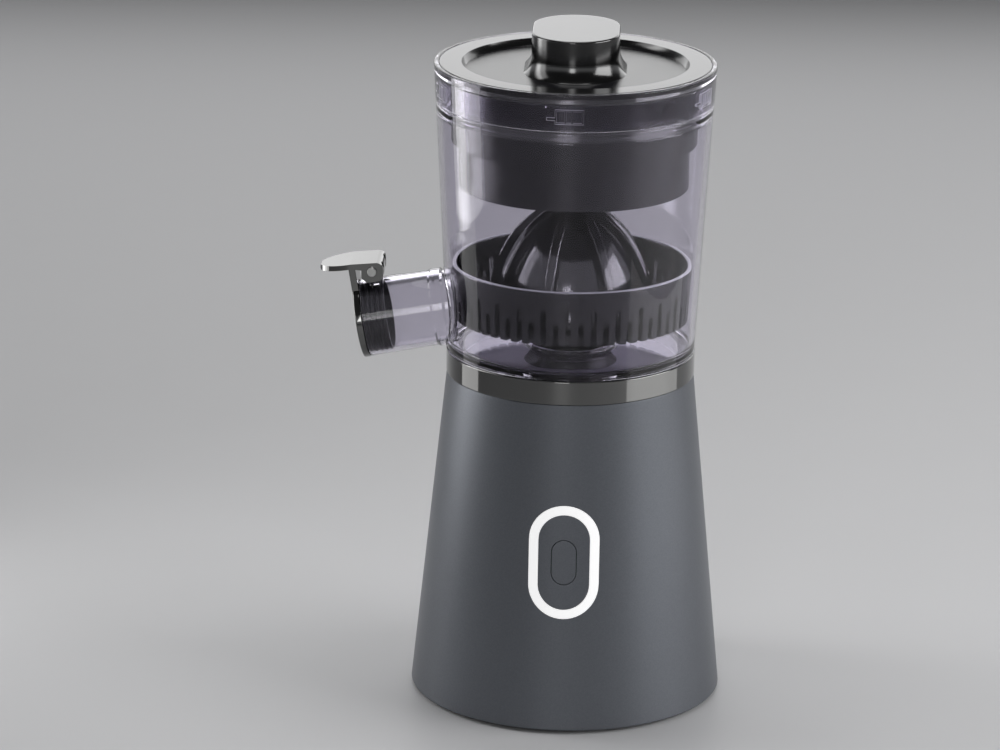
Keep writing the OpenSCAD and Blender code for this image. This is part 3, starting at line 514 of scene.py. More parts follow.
def paint_flakes():
    """Metal flakes in a paint: the colour is lighter or darker from flake to flake."""
    if "Paint flakes" in bpy.data.node_groups:
        return bpy.data.node_groups["Paint flakes"]
    tree, ins, outs = new_group(
        "Paint flakes", {"Colour": (0.1, 0.1, 0.1, 1), "Scale": 2600.0, "Contrast": 0.35},
        ("Colour", "Flakes"),
    )
    place = add_node(tree, "TexCoord").outputs["Object"]
    cells = add_node(tree, "TexVoronoi", {"Vector": place, "Scale": ins["Scale"]})
    flake = add_node(tree, "SeparateColor", {"Color": cells.outputs["Color"]}).outputs["Red"]
    level = add_node(tree, "MapRange", {"Value": flake, "To Min": 0.8, "To Max": 1.2})
    tinted = add_node(
        tree, "Mix",
        {"Factor": ins["Contrast"], "A": ins["Colour"], "B": level.outputs["Result"]},
        data_type="RGBA", blend_type="MULTIPLY",
    )
    tree.links.new(tinted.outputs["Result"], outs["Colour"])
    tree.links.new(flake, outs["Flakes"])
    return tree


def turned_grain():
    """Fine rings round the Z axis, as a lathe or a polishing wheel leaves them."""
    if "Turned grain" in bpy.data.node_groups:
        return bpy.data.node_groups["Turned grain"]
    tree, ins, outs = new_group(
        "Turned grain", {"Rings": 1800.0, "Roughness": 0.15, "Wander": 0.06}, ("Height", "Roughness")
    )
    place = add_node(tree, "TexCoord").outputs["Object"]
    flat = add_node(tree, "VectorMath", {0: place, 1: (1, 1, 0)}, operation="MULTIPLY")
    radius = add_node(tree, "VectorMath", {0: flat.outputs["Vector"]}, operation="LENGTH")
    rings = add_node(
        tree, "TexNoise",
        {"W": radius.outputs["Value"], "Scale": ins["Rings"], "Detail": 2}, noise_dimensions="1D",
    )
    tree.links.new(rings.outputs["Fac"], outs["Height"])
    tree.links.new(wandering(tree, ins, place, 30, 2), outs["Roughness"])
    return tree


def finish(name, tint, roughness, metallic=0.0, grain=900.0, bump=0.01, wander=0.05,
           group=moulded_grain, **plain):
    """A material whose roughness and bump come from a grain group, with plain values on the shader."""
    if name in bpy.data.materials:
        return bpy.data.materials[name]
    material = bpy.data.materials.new(name)
    material.use_nodes = True
    tree = material.node_tree
    shader = tree.nodes["Principled BSDF"].inputs
    shader["Base Color"].default_value = (*tint, 1)
    shader["Metallic"].default_value = metallic
    for key, value in plain.items():
        shader[key.replace("_", " ").title().replace("Ior", "IOR")].default_value = value
    effect = add_node(tree, "Group", {0: grain, "Roughness": roughness, "Wander": wander},
                      node_tree=group())
    relief = add_node(tree, "Bump", {"Strength": bump, "Distance": RELIEF,
                                     "Height": effect.outputs["Height"]})
    tree.links.new(effect.outputs["Roughness"], shader["Roughness"])
    tree.links.new(relief.outputs["Normal"], shader["Normal"])
    return material


def tint_of(name):
    """One of the scene's colours."""
    return getattr(bpy.context.scene.juicer_colours, name)


def slate_paint():
    """Satin metallic paint of the housing, the ring's insert and the button."""
    if "Satin slate" in bpy.data.materials:
        return bpy.data.materials["Satin slate"]
    tint = tint_of("slate")
    material = finish("Satin slate", tint, 0.40, metallic=0.55, grain=700.0, bump=0.02, wander=0.04)
    tree = material.node_tree
    flakes = add_node(tree, "Group", {"Colour": (*tint, 1)}, node_tree=paint_flakes())
    tree.links.new(flakes.outputs["Colour"], tree.nodes["Principled BSDF"].inputs["Base Color"])
    return material


def smoke_clear():
    """Clear moulded plastic with a light smoke tint, which lets the lamps shine in."""
    if "Smoke clear" in bpy.data.materials:
        return bpy.data.materials["Smoke clear"]
    material = finish("Smoke clear", tint_of("smoke"), 0.0, grain=45.0, bump=0.02, wander=0.02,
                      transmission_weight=1.0, ior=CLEAR_IOR)
    tree = material.node_tree
    path = add_node(tree, "LightPath")
    shadow = add_node(tree, "BsdfTransparent", {"Color": (0.86, 0.85, 0.88, 1)})
    either = add_node(tree, "MixShader", {
        "Fac": path.outputs["Is Shadow Ray"], 1: tree.nodes["Principled BSDF"].outputs["BSDF"],
        2: shadow.outputs["BSDF"],
    })
    tree.links.new(either.outputs["Shader"], tree.nodes["Material Output"].inputs["Surface"])
    return material


def edge_highlight_paint():
    """A pale, half-clear finish painted on the narrow edges of a clear moulding: a painted highlight that
    stands in for the bright lines of light along them.
    """
    return finish("Painted edge highlight", (0.90, 0.89, 0.95), 0.3, bump=0.02, transmission_weight=0.35,
                  ior=CLEAR_IOR)


def dark_chrome():
    """Dark mirror plating of the band and the flap."""
    return finish("Dark chrome", tint_of("chrome"), 0.06, metallic=1.0, grain=60.0)


def polished_lid():
    """Dark metal, polished on a turning wheel."""
    return finish("Polished lid", tint_of("polished"), 0.17, metallic=1.0, grain=2400.0, bump=0.02,
                  wander=0.06, group=turned_grain)


def satin_charcoal():
    """Near-black moulded plastic of the cup, the filter and the deck."""
    return finish("Satin charcoal", tint_of("charcoal"), 0.26, grain=1100.0, specular_ior_level=0.7)


def glossy_charcoal():
    """Near-black plastic with a polished face, for the cone."""
    return finish("Glossy charcoal", tint_of("charcoal"), 0.13, grain=1100.0, bump=0.003,
                  specular_ior_level=1.0)


def rim_edge():
    """A pale grey painted on the top of the filter's rim: a painted highlight that stands in for the bright
    line of light along it.
    """
    return finish("Rim painted highlight", (0.34, 0.335, 0.36), 0.16, specular_ior_level=1.0)


def deck_floor_light_paint():
    """A lighter grey painted on the deck's floor: painted light that stands in for the light seen on the
    jar's floor above it.
    """
    return finish("Deck floor painted light", tint_of("deck"), 0.30)


def black_rubber():
    """Matt rubber of the seals."""
    return finish("Black rubber", tint_of("rubber"), 0.55, grain=1400.0, bump=0.06, wander=0.1)


def ring_glow():
    """Milky plastic, lit from behind."""
    return finish("Lit diffuser", (0.6, 0.6, 0.6), 0.35, grain=800.0,
                  emission_color=(*tint_of("glow"), 1), emission_strength=0.62)


# Finishes of the carried-over inner pieces: colour, roughness, metallic
INNER_FINISHES = {
    "inner_plastic": ("Black nylon", (0.03, 0.03, 0.032), 0.5, 0.0),
    "gear_nylon": ("Natural nylon", (0.72, 0.68, 0.58), 0.42, 0.0),
    "gear_steel": ("Cut steel", (0.46, 0.46, 0.46), 0.3, 1.0),
    "bush_brass": ("Sintered bronze", (0.50, 0.34, 0.15), 0.42, 1.0),
    "zinc_screw": ("Zinc plate", (0.55, 0.55, 0.54), 0.28, 1.0),
    "board_green": ("Solder mask", (0.02, 0.13, 0.06), 0.3, 0.0),
    "charcoal": ("Charcoal inner", (0.030, 0.029, 0.034), 0.4, 0.0),
    "black_rubber": ("Rubber inner", (0.012, 0.012, 0.013), 0.6, 0.0),
    "white_diffuser": ("Lamp white", (0.85, 0.85, 0.80), 0.3, 0.0),
}


def inner_finish(slot):
    """The material of a carried-over piece, by its slot."""
    title, tint, roughness, metallic = INNER_FINISHES[slot]
    return finish(title, tint, roughness, metallic, grain=1200.0, bump=0.04)


# ---- Operators: one for each group of pieces -------------------------------------------


class JUICER_OT_housing(bpy.types.Operator):
    """Models the tapered housing with its slot for the ring, and the bright band"""

    bl_idname = "juicer.housing"
    bl_label = "Housing and band"

    def execute(self, context):
        sizes = context.scene.juicer_sizes
        wall, lip, gap, deep = 2.6, 0.5, 0.2, 8
        flange_r, flange_z = 44, BASE_Z1 - 3.5
        housing = turned([
            (BASE_R - 0.1, BASE_Z0, 0.8), (BASE_TOP_R, BASE_Z1, lip), (flange_r, BASE_Z1),
            (flange_r, flange_z), (wall_r(flange_z) - wall, flange_z), (wall_r(BASE_Z0) - wall, BASE_Z0),
        ])
        slot = slab(stadium(sizes.ring_width / MM + gap, sizes.ring_height / MM + gap), -deep, deep)
        combined(housing, placed(slot, wall_matrix()), "DIFFERENCE")
        settled(housing, "housing_shell", "base", slate_paint(), "base_housing")
        band_in = BAND_R - 2.6
        band = turned([
            (band_in, BASE_Z1), (BAND_R, BASE_Z1, 0.5), (BAND_R, BAND_Z1, 0.5), (band_in, BAND_Z1),
        ])
        settled(band, "bright_band", "base", dark_chrome(), "chrome_band")
        return {"FINISHED"}


class JUICER_OT_light_ring(bpy.types.Operator):
    """Models the lit ring, the painted insert inside it and the button"""

    bl_idname = "juicer.light_ring"
    bl_label = "Light ring and button"

    def execute(self, context):
        sizes = context.scene.juicer_sizes
        fit, button_gap, edge, thick = 0.12, 0.5, 0.15, 4.6
        outer = (sizes.ring_width / MM, sizes.ring_height / MM)
        inner = [side - 2 * (sizes.ring_band / MM) for side in outer]
        ring = softened(wall_plate(*outer, thick, inner), edge)
        settled(ring, "lit_ring", "base", ring_glow(), "light_ring")
        button = (sizes.button_width / MM, sizes.button_height / MM)
        hole = [side + button_gap for side in button]
        insert = softened(wall_plate(inner[0] - fit, inner[1] - fit, thick, hole), edge)
        settled(insert, "ring_insert", "base", slate_paint(), "control_panel")
        key = softened(wall_plate(*button, thick), edge)
        settled(key, "start_button", "button", slate_paint(), "power_button")
        return {"FINISHED"}


class JUICER_OT_deck(bpy.types.Operator):
    """Models the deck inside the band, with the boss that shows through the jar"""

    bl_idname = "juicer.deck"
    bl_label = "Deck"

    def execute(self, context):
        boss_r, boss_top, shaft_hole = 17.7, 161.0, 8.1
        rim_in, rim_z = DECK_R - 2.1, BAND_Z1 - 0.7
        deck = turned([
            (shaft_hole, BASE_Z1), (DECK_R, BASE_Z1), (DECK_R, rim_z, 0.4), (rim_in, rim_z, 0.4),
            (rim_in, DECK_Z1, 0.6), (boss_r + 2.8, DECK_Z1, 1.2), (boss_r, 156, 2.5),
            (boss_r, boss_top, 1.5), (shaft_hole, boss_top, 0.3),
        ])
        combined(deck, foot_keys(gap=0.4), "DIFFERENCE")
        settled(deck, "deck_plate", "base", satin_charcoal(), "top_deck")
        # The deck's upward faces between the boss and the rim get the lighter grey of painted light, which
        # stands in for the light seen on the jar's floor above.
        second_finish(deck, deck_floor_light_paint(), lambda centre, normal: (
            boss_r + 3 < centre.xy.length < DECK_R - 3 and normal.z > 0.9
        ))
        return {"FINISHED"}


class JUICER_OT_jar(bpy.types.Operator):
    """Models the clear jar with its floor, tower, neck and bayonet rails"""

    bl_idname = "juicer.jar"
    bl_label = "Juice jar"

    def execute(self, context):
        floor_low, floor_top, foot_in = 158.4, 160.6, 47.8
        neck_in, neck_out, shoulder = 56.4, 58.6, SEAM_Z - 5
        tower_foot, tower_r, tower_bore = 20.3, 13.3, 9.6
        tower_shoulder, tower_top = 164.2, 212.5
        boss_hole, boss_roof = 18.3, 162.0
        jar = turned([
            (foot_in, DECK_Z1, 0.5), (FOOT_R, DECK_Z1, 0.5), (FOOT_R, JAR_Z0),
            (jar_r(JAR_Z0), JAR_Z0, 0.9), (JAR_R1, SEAM_Z, 0.25), (neck_out, SEAM_Z),
            (neck_out, JAR_Z1, 0.4), (neck_in, JAR_Z1, 0.4), (neck_in, SEAM_Z - 2, 1.5),
            (jar_r(shoulder) - JAR_WALL, shoulder, 3), (jar_r(floor_top) - JAR_WALL, floor_top, 4),
            (tower_foot, floor_top, 1), (tower_foot, tower_shoulder, 2), (tower_r, tower_shoulder, 0.5),
            (tower_r, tower_top, 0.5), (tower_bore, tower_top, 0.2), (tower_bore, boss_roof),
            (boss_hole, boss_roof, 0.5), (boss_hole, floor_low, 0.4), (foot_in, floor_low, 0.4),
        ])
        hole_r, hole_from, hole_to = SPOUT_ROOT_R - 0.45, 30, 70
        hole = rod(hole_r, hole_r, hole_from, hole_to, 96)
        combined(jar, placed(hole, spout_frame()), "DIFFERENCE")
        # Each rail runs level along the neck's edge, and then falls: points of (degrees, height)
        rail_z, level_from, level_step = JAR_Z1 - 0.75, -10.9, 1.2
        fall_from, fall_turn, fall_drop = -27.4, 0.95, 1.15
        level = [(level_from - level_step * k, rail_z) for k in range(14)]
        fall = [(fall_from - fall_turn * k, rail_z - fall_drop * k) for k in range(1, 8)]
        rail = arc_bar(level + fall, neck_out, depth=1.0, thickness=1.1)
        combined(jar, copies(rail, LUG_TURNS), "UNION")
        combined(jar, foot_keys(), "UNION")
        settled(jar, "jar_shell", "jar", smoke_clear(), "juice_jar")
        return {"FINISHED"}


class JUICER_OT_spout(bpy.types.Operator):
    """Models the pouring tube with its ears, the seal, the pin and the closing flap"""

    bl_idname = "juicer.spout"
    bl_label = "Spout and flap"

    def execute(self, context):
        self.tube()
        self.seal()
        self.pin()
        self.flap()
        return {"FINISHED"}

    def tube(self):
        """The tube, cut off along the jar's inner wall, with a collar at its root and two ears."""
        seat_r, seat_start, root_r = 15.75, 82.4, SPOUT_ROOT_R - 0.5
        tube = turned([
            (SPOUT_BORE, 40), (root_r, 40), (root_r, 56), (SPOUT_R, 57, 0.2), (SPOUT_R, 61.5, 0.3),
            (SPOUT_ROOT_R + 0.05, 62.5), (SPOUT_R, SPOUT_LEN, 0.4), (seat_r, SPOUT_LEN, 0.2),
            (seat_r, seat_start), (SPOUT_BORE, seat_start),
        ], 128)
        leg_low, leg_high, leg_half, ear_r, ear = 14.5, PIVOT[0] - 0.5, 1.95, 3.0, 2.8
        eye = [radians(d) for d in range(-10, 191, 10)]
        side = [(leg_low, -leg_half), (leg_high, -leg_half)]
        side += [(PIVOT[0] + ear_r * sin(a), -ear_r * cos(a)) for a in eye]
        side += [(leg_high, leg_half), (leg_low, leg_half)]
        for near in (-8.0, 5.2):
            plate = lofted([[(x, y, PIVOT[1] + t) for x, t in side] for y in (near, near + ear)])
            combined(tube, softened(plate, 0.3), "UNION")
        placed(tube, spout_frame())
        low, high = 140, 240
        combined(tube, rod(jar_r(low) - JAR_WALL, jar_r(high) - JAR_WALL, low, high), "DIFFERENCE")
        settled(tube, "pouring_tube", "jar", smoke_clear(), "juice_spout")

    def seal(self):
        """The seal, with beads round its outside and lips round its mouth."""
        outer, inner, start, groove, beads, lips, lip_pitch = 15.7, 13.4, 82.5, 0.6, 4, 3, 2.4
        end = SPOUT_LEN - 0.4
        pitch = (end - start - 1) / beads
        corners = []
        for k in range(beads):
            t = start + pitch * k
            corners += [(outer, t, 0.3), (outer, t + 1.2, 0.3), (outer - groove, t + 1.5),
                        (outer - groove, t + pitch - 0.3)]
        corners += [(outer, end - 1), (outer, end, 0.3), (inner + 0.5, end, 0.2)]
        for k in range(lips):
            corners += [(inner, end - 1 - lip_pitch * k, 0.4),
                        (inner + 0.8, end - 2.2 - lip_pitch * k, 0.3)]
        corners += [(inner + 1.4, start)]
        seal = placed(turned(corners, 96), spout_frame())
        settled(seal, "mouth_seal", "jar", black_rubber(), "spout_seal")

    def pin(self):
        """The flap's pin, with a slotted head."""
        head_r, shank_r, reach, foot, head = 2.05, 1.5, 11.05, 1, 1.2
        pin = turned([
            (0, -reach - foot), (head_r, -reach - foot, 0.3), (head_r, -reach), (shank_r, -reach),
            (shank_r, reach), (head_r, reach), (head_r, reach + head, 0.4), (0, reach + head),
        ], 48)
        notch = slab(box_outline(-1.3, 1.3, -0.3, 0.3), reach + 0.6, reach + 3)
        combined(pin, notch, "DIFFERENCE")
        placed(pin, along_pin() @ Matrix.Rotation(pi, 4, "X"))
        settled(pin, "pin_and_head", "jar", inner_finish("zinc_screw"), "hinge_pin")

    def flap(self):
        """The closing disc and its finger lever, one piece, with room for the ears and the pin."""
        tip, half, reach, back, pin_r = -112.3, 11.0, 14.0, -70, 1.56
        side = [(tip, 193.3), (tip + 0.6, 194.8), (-97.8, 197.3)]
        side += arc((-86.6, 195.2), 3.1, 90, 0)
        side += [(-83.5, 191.6), (-84.9, 190), (-90.8, 189), (-93.2, 191.2), (-93.2, 194.6),
                 (-97.8, 195), (tip + 0.9, 192.5)]
        lever = lofted([[(x, y, z) for x, z in side] for y in (-20, 20)])
        nose = [radians(a) for a in range(-90, 91, 6)]
        plan = [(tip + reach * (1 - cos(a)), half * sin(a)) for a in nose]
        combined(lever, slab(plan + [(back, half), (back, -half)], 150, 230), "INTERSECT")
        disc_r, low, high, web, rise = 17.6, SPOUT_LEN + 0.2, SPOUT_LEN + 3.2, 9.0, 26.3
        disc = turned([(0, low), (disc_r, low, 0.4), (disc_r, high, 0.7), (0, high)], 128)
        neck = slab(box_outline(4, rise, -web, web), low, high)
        combined(disc, softened(neck, 0.3), "UNION")
        combined(lever, placed(disc, spout_frame()), "UNION")
        for near in (-8.3, 4.9):
            room = slab(box_outline(-10, 2.6, near, near + 3.4), -6.7, 7.3)
            combined(lever, placed(room, pivot_frame()), "DIFFERENCE")
        combined(lever, placed(rod(pin_r, pin_r, -20, 20, 32), along_pin()), "DIFFERENCE")
        softened(lever, 0.35, angle=40)
        settled(lever, "pour_flap", "flap", dark_chrome(), "spout_flap")


class JUICER_OT_filter(bpy.types.Operator):
    """Models the filter basket with its tall and short slots"""

    bl_idname = "juicer.filter"
    bl_label = "Filter basket"

    def execute(self, context):
        count = context.scene.juicer_sizes.slots
        wall, foot_r, floor_low, floor_top = 2.2, FILTER_R - 1.6, 174.0, 176.2
        collar_in, collar_out, rim = 13.7, 17.9, 1.0
        basket = turned([
            (collar_in, FILTER_Z0, 0.3), (collar_out, FILTER_Z0, 0.8), (collar_out, floor_low, 1.5),
            (foot_r, floor_low, 0.7), (FILTER_R, FILTER_Z1, rim), (FILTER_R - wall, FILTER_Z1, rim),
            (foot_r - wall, floor_top, 2.0), (collar_in, floor_top, 0.3),
        ], 240)
        half, slot_in, slot_out, tall, short = 1.2, 42, FILTER_R + 4, 190.1, 184.6
        for index, top in enumerate((tall, short)):
            outline = [(-half, floor_low - 1), (half, floor_low - 1)]
            outline += arc((0, top - half), half, 0, 180)
            tool = lofted([[(x, y, z) for x, z in outline] for y in (-slot_out, -slot_in)])
            turns = [360 / count * k for k in range(index, count, 2)]
            combined(basket, copies(tool, turns), "DIFFERENCE")
        settled(basket, "slotted_basket", "filter", satin_charcoal(), "filter_basket")
        # The rim's upward faces get a painted highlight: a pale grey that stands in for the bright line of
        # light along the rim.
        second_finish(basket, rim_edge(), lambda centre, normal: (
            centre.z > FILTER_Z1 - rim and normal.z > 0.5
        ))
        return {"FINISHED"}


class JUICER_OT_cone(bpy.types.Operator):
    """Models the pressing cone: a hollow skin with its nut, and ribs that meet in a crown"""

    bl_idname = "juicer.cone"
    bl_label = "Cone"

    def execute(self, context):
        sizes = context.scene.juicer_sizes
        middle, height, turn = 171.8, 54.0, -15.5
        outer, out = sizes.cone_radius / MM, sizes.rib_height / MM
        core_r, core_h = outer - out, height - out
        body = turned(self.outside(outer, core_r, core_h, middle, height)
                      + self.hollow(core_r, core_h, middle))
        rib = self.rib(sizes.rib_width / MM / 2, (outer, height), (core_r, core_h), middle)
        for k in range(sizes.cone_ribs):
            combined(body, turned_copy(rib, turn + 360 / sizes.cone_ribs * k), "UNION")
        bpy.data.objects.remove(rib)
        close_up(body, fill=True)
        settled(body, "ribbed_cone", "press_cone", glossy_charcoal(), "cone")
        return {"FINISHED"}

    def outside(self, outer, core_r, core_h, middle, height):
        """The outline from the skirt up to the crown's top."""
        skirt, skirt_z, crown, crown_in, crown_h = outer - 0.4, CONE_Z0 + 2.4, 5.5, 3, height - 0.2
        start = degrees(asin((CONE_Z0 - middle) / core_h))
        core = ellipse(core_r, core_h, middle, start, 90, 40)[2:]
        core = [point for point in core if point[0] > crown + 0.2]
        for reach, r, h in ((crown, core_r, core_h), (crown, outer, crown_h), (crown_in, outer, crown_h)):
            angle = degrees(acos(reach / r))
            core += ellipse(r, h, middle, angle, angle, 1)[:1]
        return [(skirt, CONE_Z0, 0.4), (skirt, skirt_z, 0.6), (core_r * 0.995, skirt_z),
                *core, (0, middle + height)]

    def hollow(self, core_r, core_h, middle):
        """The outline from the stem's hole down inside the skin and round the nut's web."""
        skin, bore, nut_r, nut_top, web_low, web_top = 2.4, 13.7, 16.8, 190.0, 186.0, 188.4
        stem_r, stem_top, seat_r, seat_z = 3.3, 223.5, 6.3, 219.1

        def inside(*levels):
            """Points of the inner face of the skin at each height."""
            reach = [sqrt(1 - ((z - middle) / (core_h - skin)) ** 2) for z in levels]
            return [((core_r - skin) * share, z) for share, z in zip(reach, levels)]

        return [
            (0, stem_top), (stem_r, stem_top), (stem_r, seat_z), (seat_r, seat_z), (seat_r, 217),
            *inside(216.9, 215, 212, 209, 205, 201, 197, 193, web_top),
            (nut_r, web_top), (nut_r, nut_top), (bore, nut_top), (bore, CONE_Z0), (nut_r, CONE_Z0),
            (nut_r, web_low), *inside(web_low, 182, CONE_Z0),
        ]

    def rib(self, half, crest, core, middle):
        """One rib at the front: a section with round edges, lofted up to just short of the top."""
        steps, left_off, sunk, edge = 36, 3, 1.2, 1
        low = degrees(asin((CONE_Z0 - middle) / crest[1]))
        outside = ellipse(*crest, middle, low, 90, steps)
        inside = ellipse(core[0] - sunk, core[1] - sunk, middle, low, 90, steps)
        corner = [(half - edge + x, edge - y) for x, y in arc((0, 0), edge, 0, 90, 4)]
        sections = []
        for (r_out, z_out), (r_in, z_in) in list(zip(outside, inside))[:-left_off]:
            depth = hypot(r_out - r_in, z_out - z_in)
            flank = [(half, depth)] + corner
            outline = flank + [(-x, d) for x, d in reversed(flank)]
            sections.append([(x, (r_in - r_out) * -d / depth - r_out, z_out + (z_in - z_out) * d / depth)
                             for x, d in outline])
        return lofted(sections)


class JUICER_OT_lid(bpy.types.Operator):
    """Models the clear lid ring with its lugs, and the polished plate with its knob"""

    bl_idname = "juicer.lid"
    bl_label = "Lid"

    def execute(self, context):
        self.ring()
        self.plate(context.scene.juicer_sizes)
        return {"FINISHED"}

    def ring(self):
        """The skirt and its shelf, with five lugs, each with three pockets and a thin tip."""
        skirt_in, shelf_in, shelf_z, rim_in = 60.0, 54.7, 284.5, 60.2
        ring = turned([
            (skirt_in, LID_Z0, 0.3), (JAR_R1 + 0.1, LID_Z0, 0.3), (LID_R, LID_Z1, 0.7),
            (rim_in, LID_Z1, 0.5), (rim_in, PLATE_Z0), (shelf_in, PLATE_Z0), (shelf_in, shelf_z),
            (skirt_in, shelf_z),
        ])
        lug_low, lug_high, web, floor = 275.5, 281.9, 0.7, 0.65
        depths, thin_tip = (-1.05, 0.3), (277.1, 278.3)
        degree = radians(1) * skirt_in
        tip, left, right = -10.4 * degree, -6.9 * degree, 4.9 * degree
        lug = curved_block(skirt_in, (left, right), (lug_low, lug_high), depths, 12)
        webs = [left + web / 2, -2.6 * degree, 0.2 * degree, right - web / 2]
        for near, far in zip(webs, webs[1:]):
            pocket = curved_block(skirt_in, (near + web / 2, far - web / 2),
                                  (lug_low + web, lug_high - web), (-2.0, depths[0] + floor))
            combined(lug, pocket, "DIFFERENCE")
        combined(lug, curved_block(skirt_in, (tip, left + 0.1), thin_tip, depths), "UNION")
        combined(ring, copies(lug, LUG_TURNS), "UNION")
        settled(ring, "lid_skirt", "lid", smoke_clear(), "lid_ring")
        # The lugs' narrow edge faces get a painted highlight: a pale, half-clear finish that stands in for
        # the bright lines of light on them.
        second_finish(ring, edge_highlight_paint(), lambda centre, normal: (
            lug_low - 0.1 < centre.z < lug_high + 0.1
            and abs(normal.xy.dot(centre.xy.normalized())) < 0.8
        ))

    def plate(self, sizes):
        """The plate, lofted in rings from the knob's top down to the dish and out under the rim."""
        rim, dish_r, dish_z, curve = PLATE_R, sizes.dish_radius / MM, 283.7, 9.0
        step_r, neck_r, under = 51.6, 30, 282.1
        knob_r = sizes.knob_width / MM / 2
        half = (sizes.knob_length / MM - 2 * knob_r) / 2
        flare, edge, rim_edge_r = 10.0, 0.8, 0.5

        def ring(r, z, spread=0, count=256):
            """One loop: a circle of radius r, pulled apart along y by spread."""
            turns = [2 * pi * (k + 0.5) / count for k in range(count)]
            return [(r * cos(a), r * sin(a) + copysign(spread, sin(a)), z) for a in turns]

        loops = [ring(knob_r * share, KNOB_Z1, half) for share in (0.2, 0.6, 0.9)]
        top_edge = arc((knob_r - edge, KNOB_Z1 - edge), edge, 90, 0, 5)
        foot = arc((knob_r + flare, dish_z + flare), flare, 180, 270, 14)
        loops += [ring(r, z, half) for r, z in top_edge + foot]
        end = degrees(acos((curve - (LID_Z1 - dish_z)) / curve))
        dish_mid = dish_r - curve * sin(radians(end))
        floor_in = knob_r + flare
        for k in range(1, 7):
            share = k / 7
            blend = share * share * (3 - 2 * share)
            loops.append(ring(floor_in + (dish_mid - floor_in) * share, dish_z, half * (1 - blend)))
        dish = arc((dish_mid, dish_z + curve), curve, 270, 270 + end, 10)
        shoulder = arc((rim - rim_edge_r, LID_Z1 - rim_edge_r), rim_edge_r, 90, 0, 4)
        back = [(rim, PLATE_Z0), (step_r, PLATE_Z0), (step_r, under), (neck_r, under),
                (knob_r - 2.2, under)]
        loops += [ring(r, z) for r, z in dish + shoulder + back]
        plate = lofted(loops)
        settled(plate, "polished_plate", "lid", polished_lid(), "lid_plate", angle=28)


class JUICER_OT_press_cup(bpy.types.Operator):
    """Models the press cup with its ribs"""

    bl_idname = "juicer.press_cup"
    bl_label = "Press cup"

    def execute(self, context):
        count = context.scene.juicer_sizes.cup_ribs
        low, step_z, lower_r, upper_r = CUP_Z0 + 0.8, 254.5, 51.0, 54.4
        flange_r, flange_low, flange_top, top = 56.0, 282.3, 284.45, PLATE_Z0 - 0.05
        dome_r, dome_h = 47.0, 33.7
        dome = ellipse(dome_r, dome_h, low, 90, 0, 30)
        cup = turned([
            (lower_r, low, 0.6), (lower_r, step_z, 0.4), (upper_r, step_z, 0.6), (upper_r, flange_low),
            (flange_r, flange_low), (flange_r, flange_top), (upper_r, flange_top), (upper_r, top),
            (0, top), (0, dome[0][1]), *dome[1:],
        ])
        rib_r, rib_h, half, drop, sunk, end, steps = 40.0, 30.0, 0.9, 0.8, 1, 80, 16
        inner = ellipse(rib_r, rib_h, low, 0, end, steps)
        outer = ellipse(dome_r + sunk, dome_h + sunk, low, 0, end, steps)
        sections = [
            [(-half, -r_in, z_in), (half, -r_in, z_in), (half, -r_out, z_out), (-half, -r_out, z_out)]
            for (r_in, z_in), (r_out, z_out) in zip(inner, outer)
        ]
        foot = [(x, y, z - drop) for x, y, z in sections[0]]
        rib = lofted([foot] + sections)
        ribs = softened(copies(rib, [360 / count * k for k in range(count)]), 0.3)
        cup = joined([cup, ribs])
        settled(cup, "pressing_cup", "lid", satin_charcoal(), "press_cup")
        return {"FINISHED"}


class JUICER_OT_inner_pieces(bpy.types.Operator):
    """Gives every piece that is carried over from the frame its own finish"""

    bl_idname = "juicer.inner_pieces"
    bl_label = "Inner pieces"

    def execute(self, context):
        slots = {row["node"]: row["material_slot"] for row in frame["record"]["subparts"]}
        for name, node in frame["nodes"].items():
            if node.hide_render:
                continue
            node.data.materials.clear()
            node.data.materials.append(inner_finish(slots[name]))
        return {"FINISHED"}


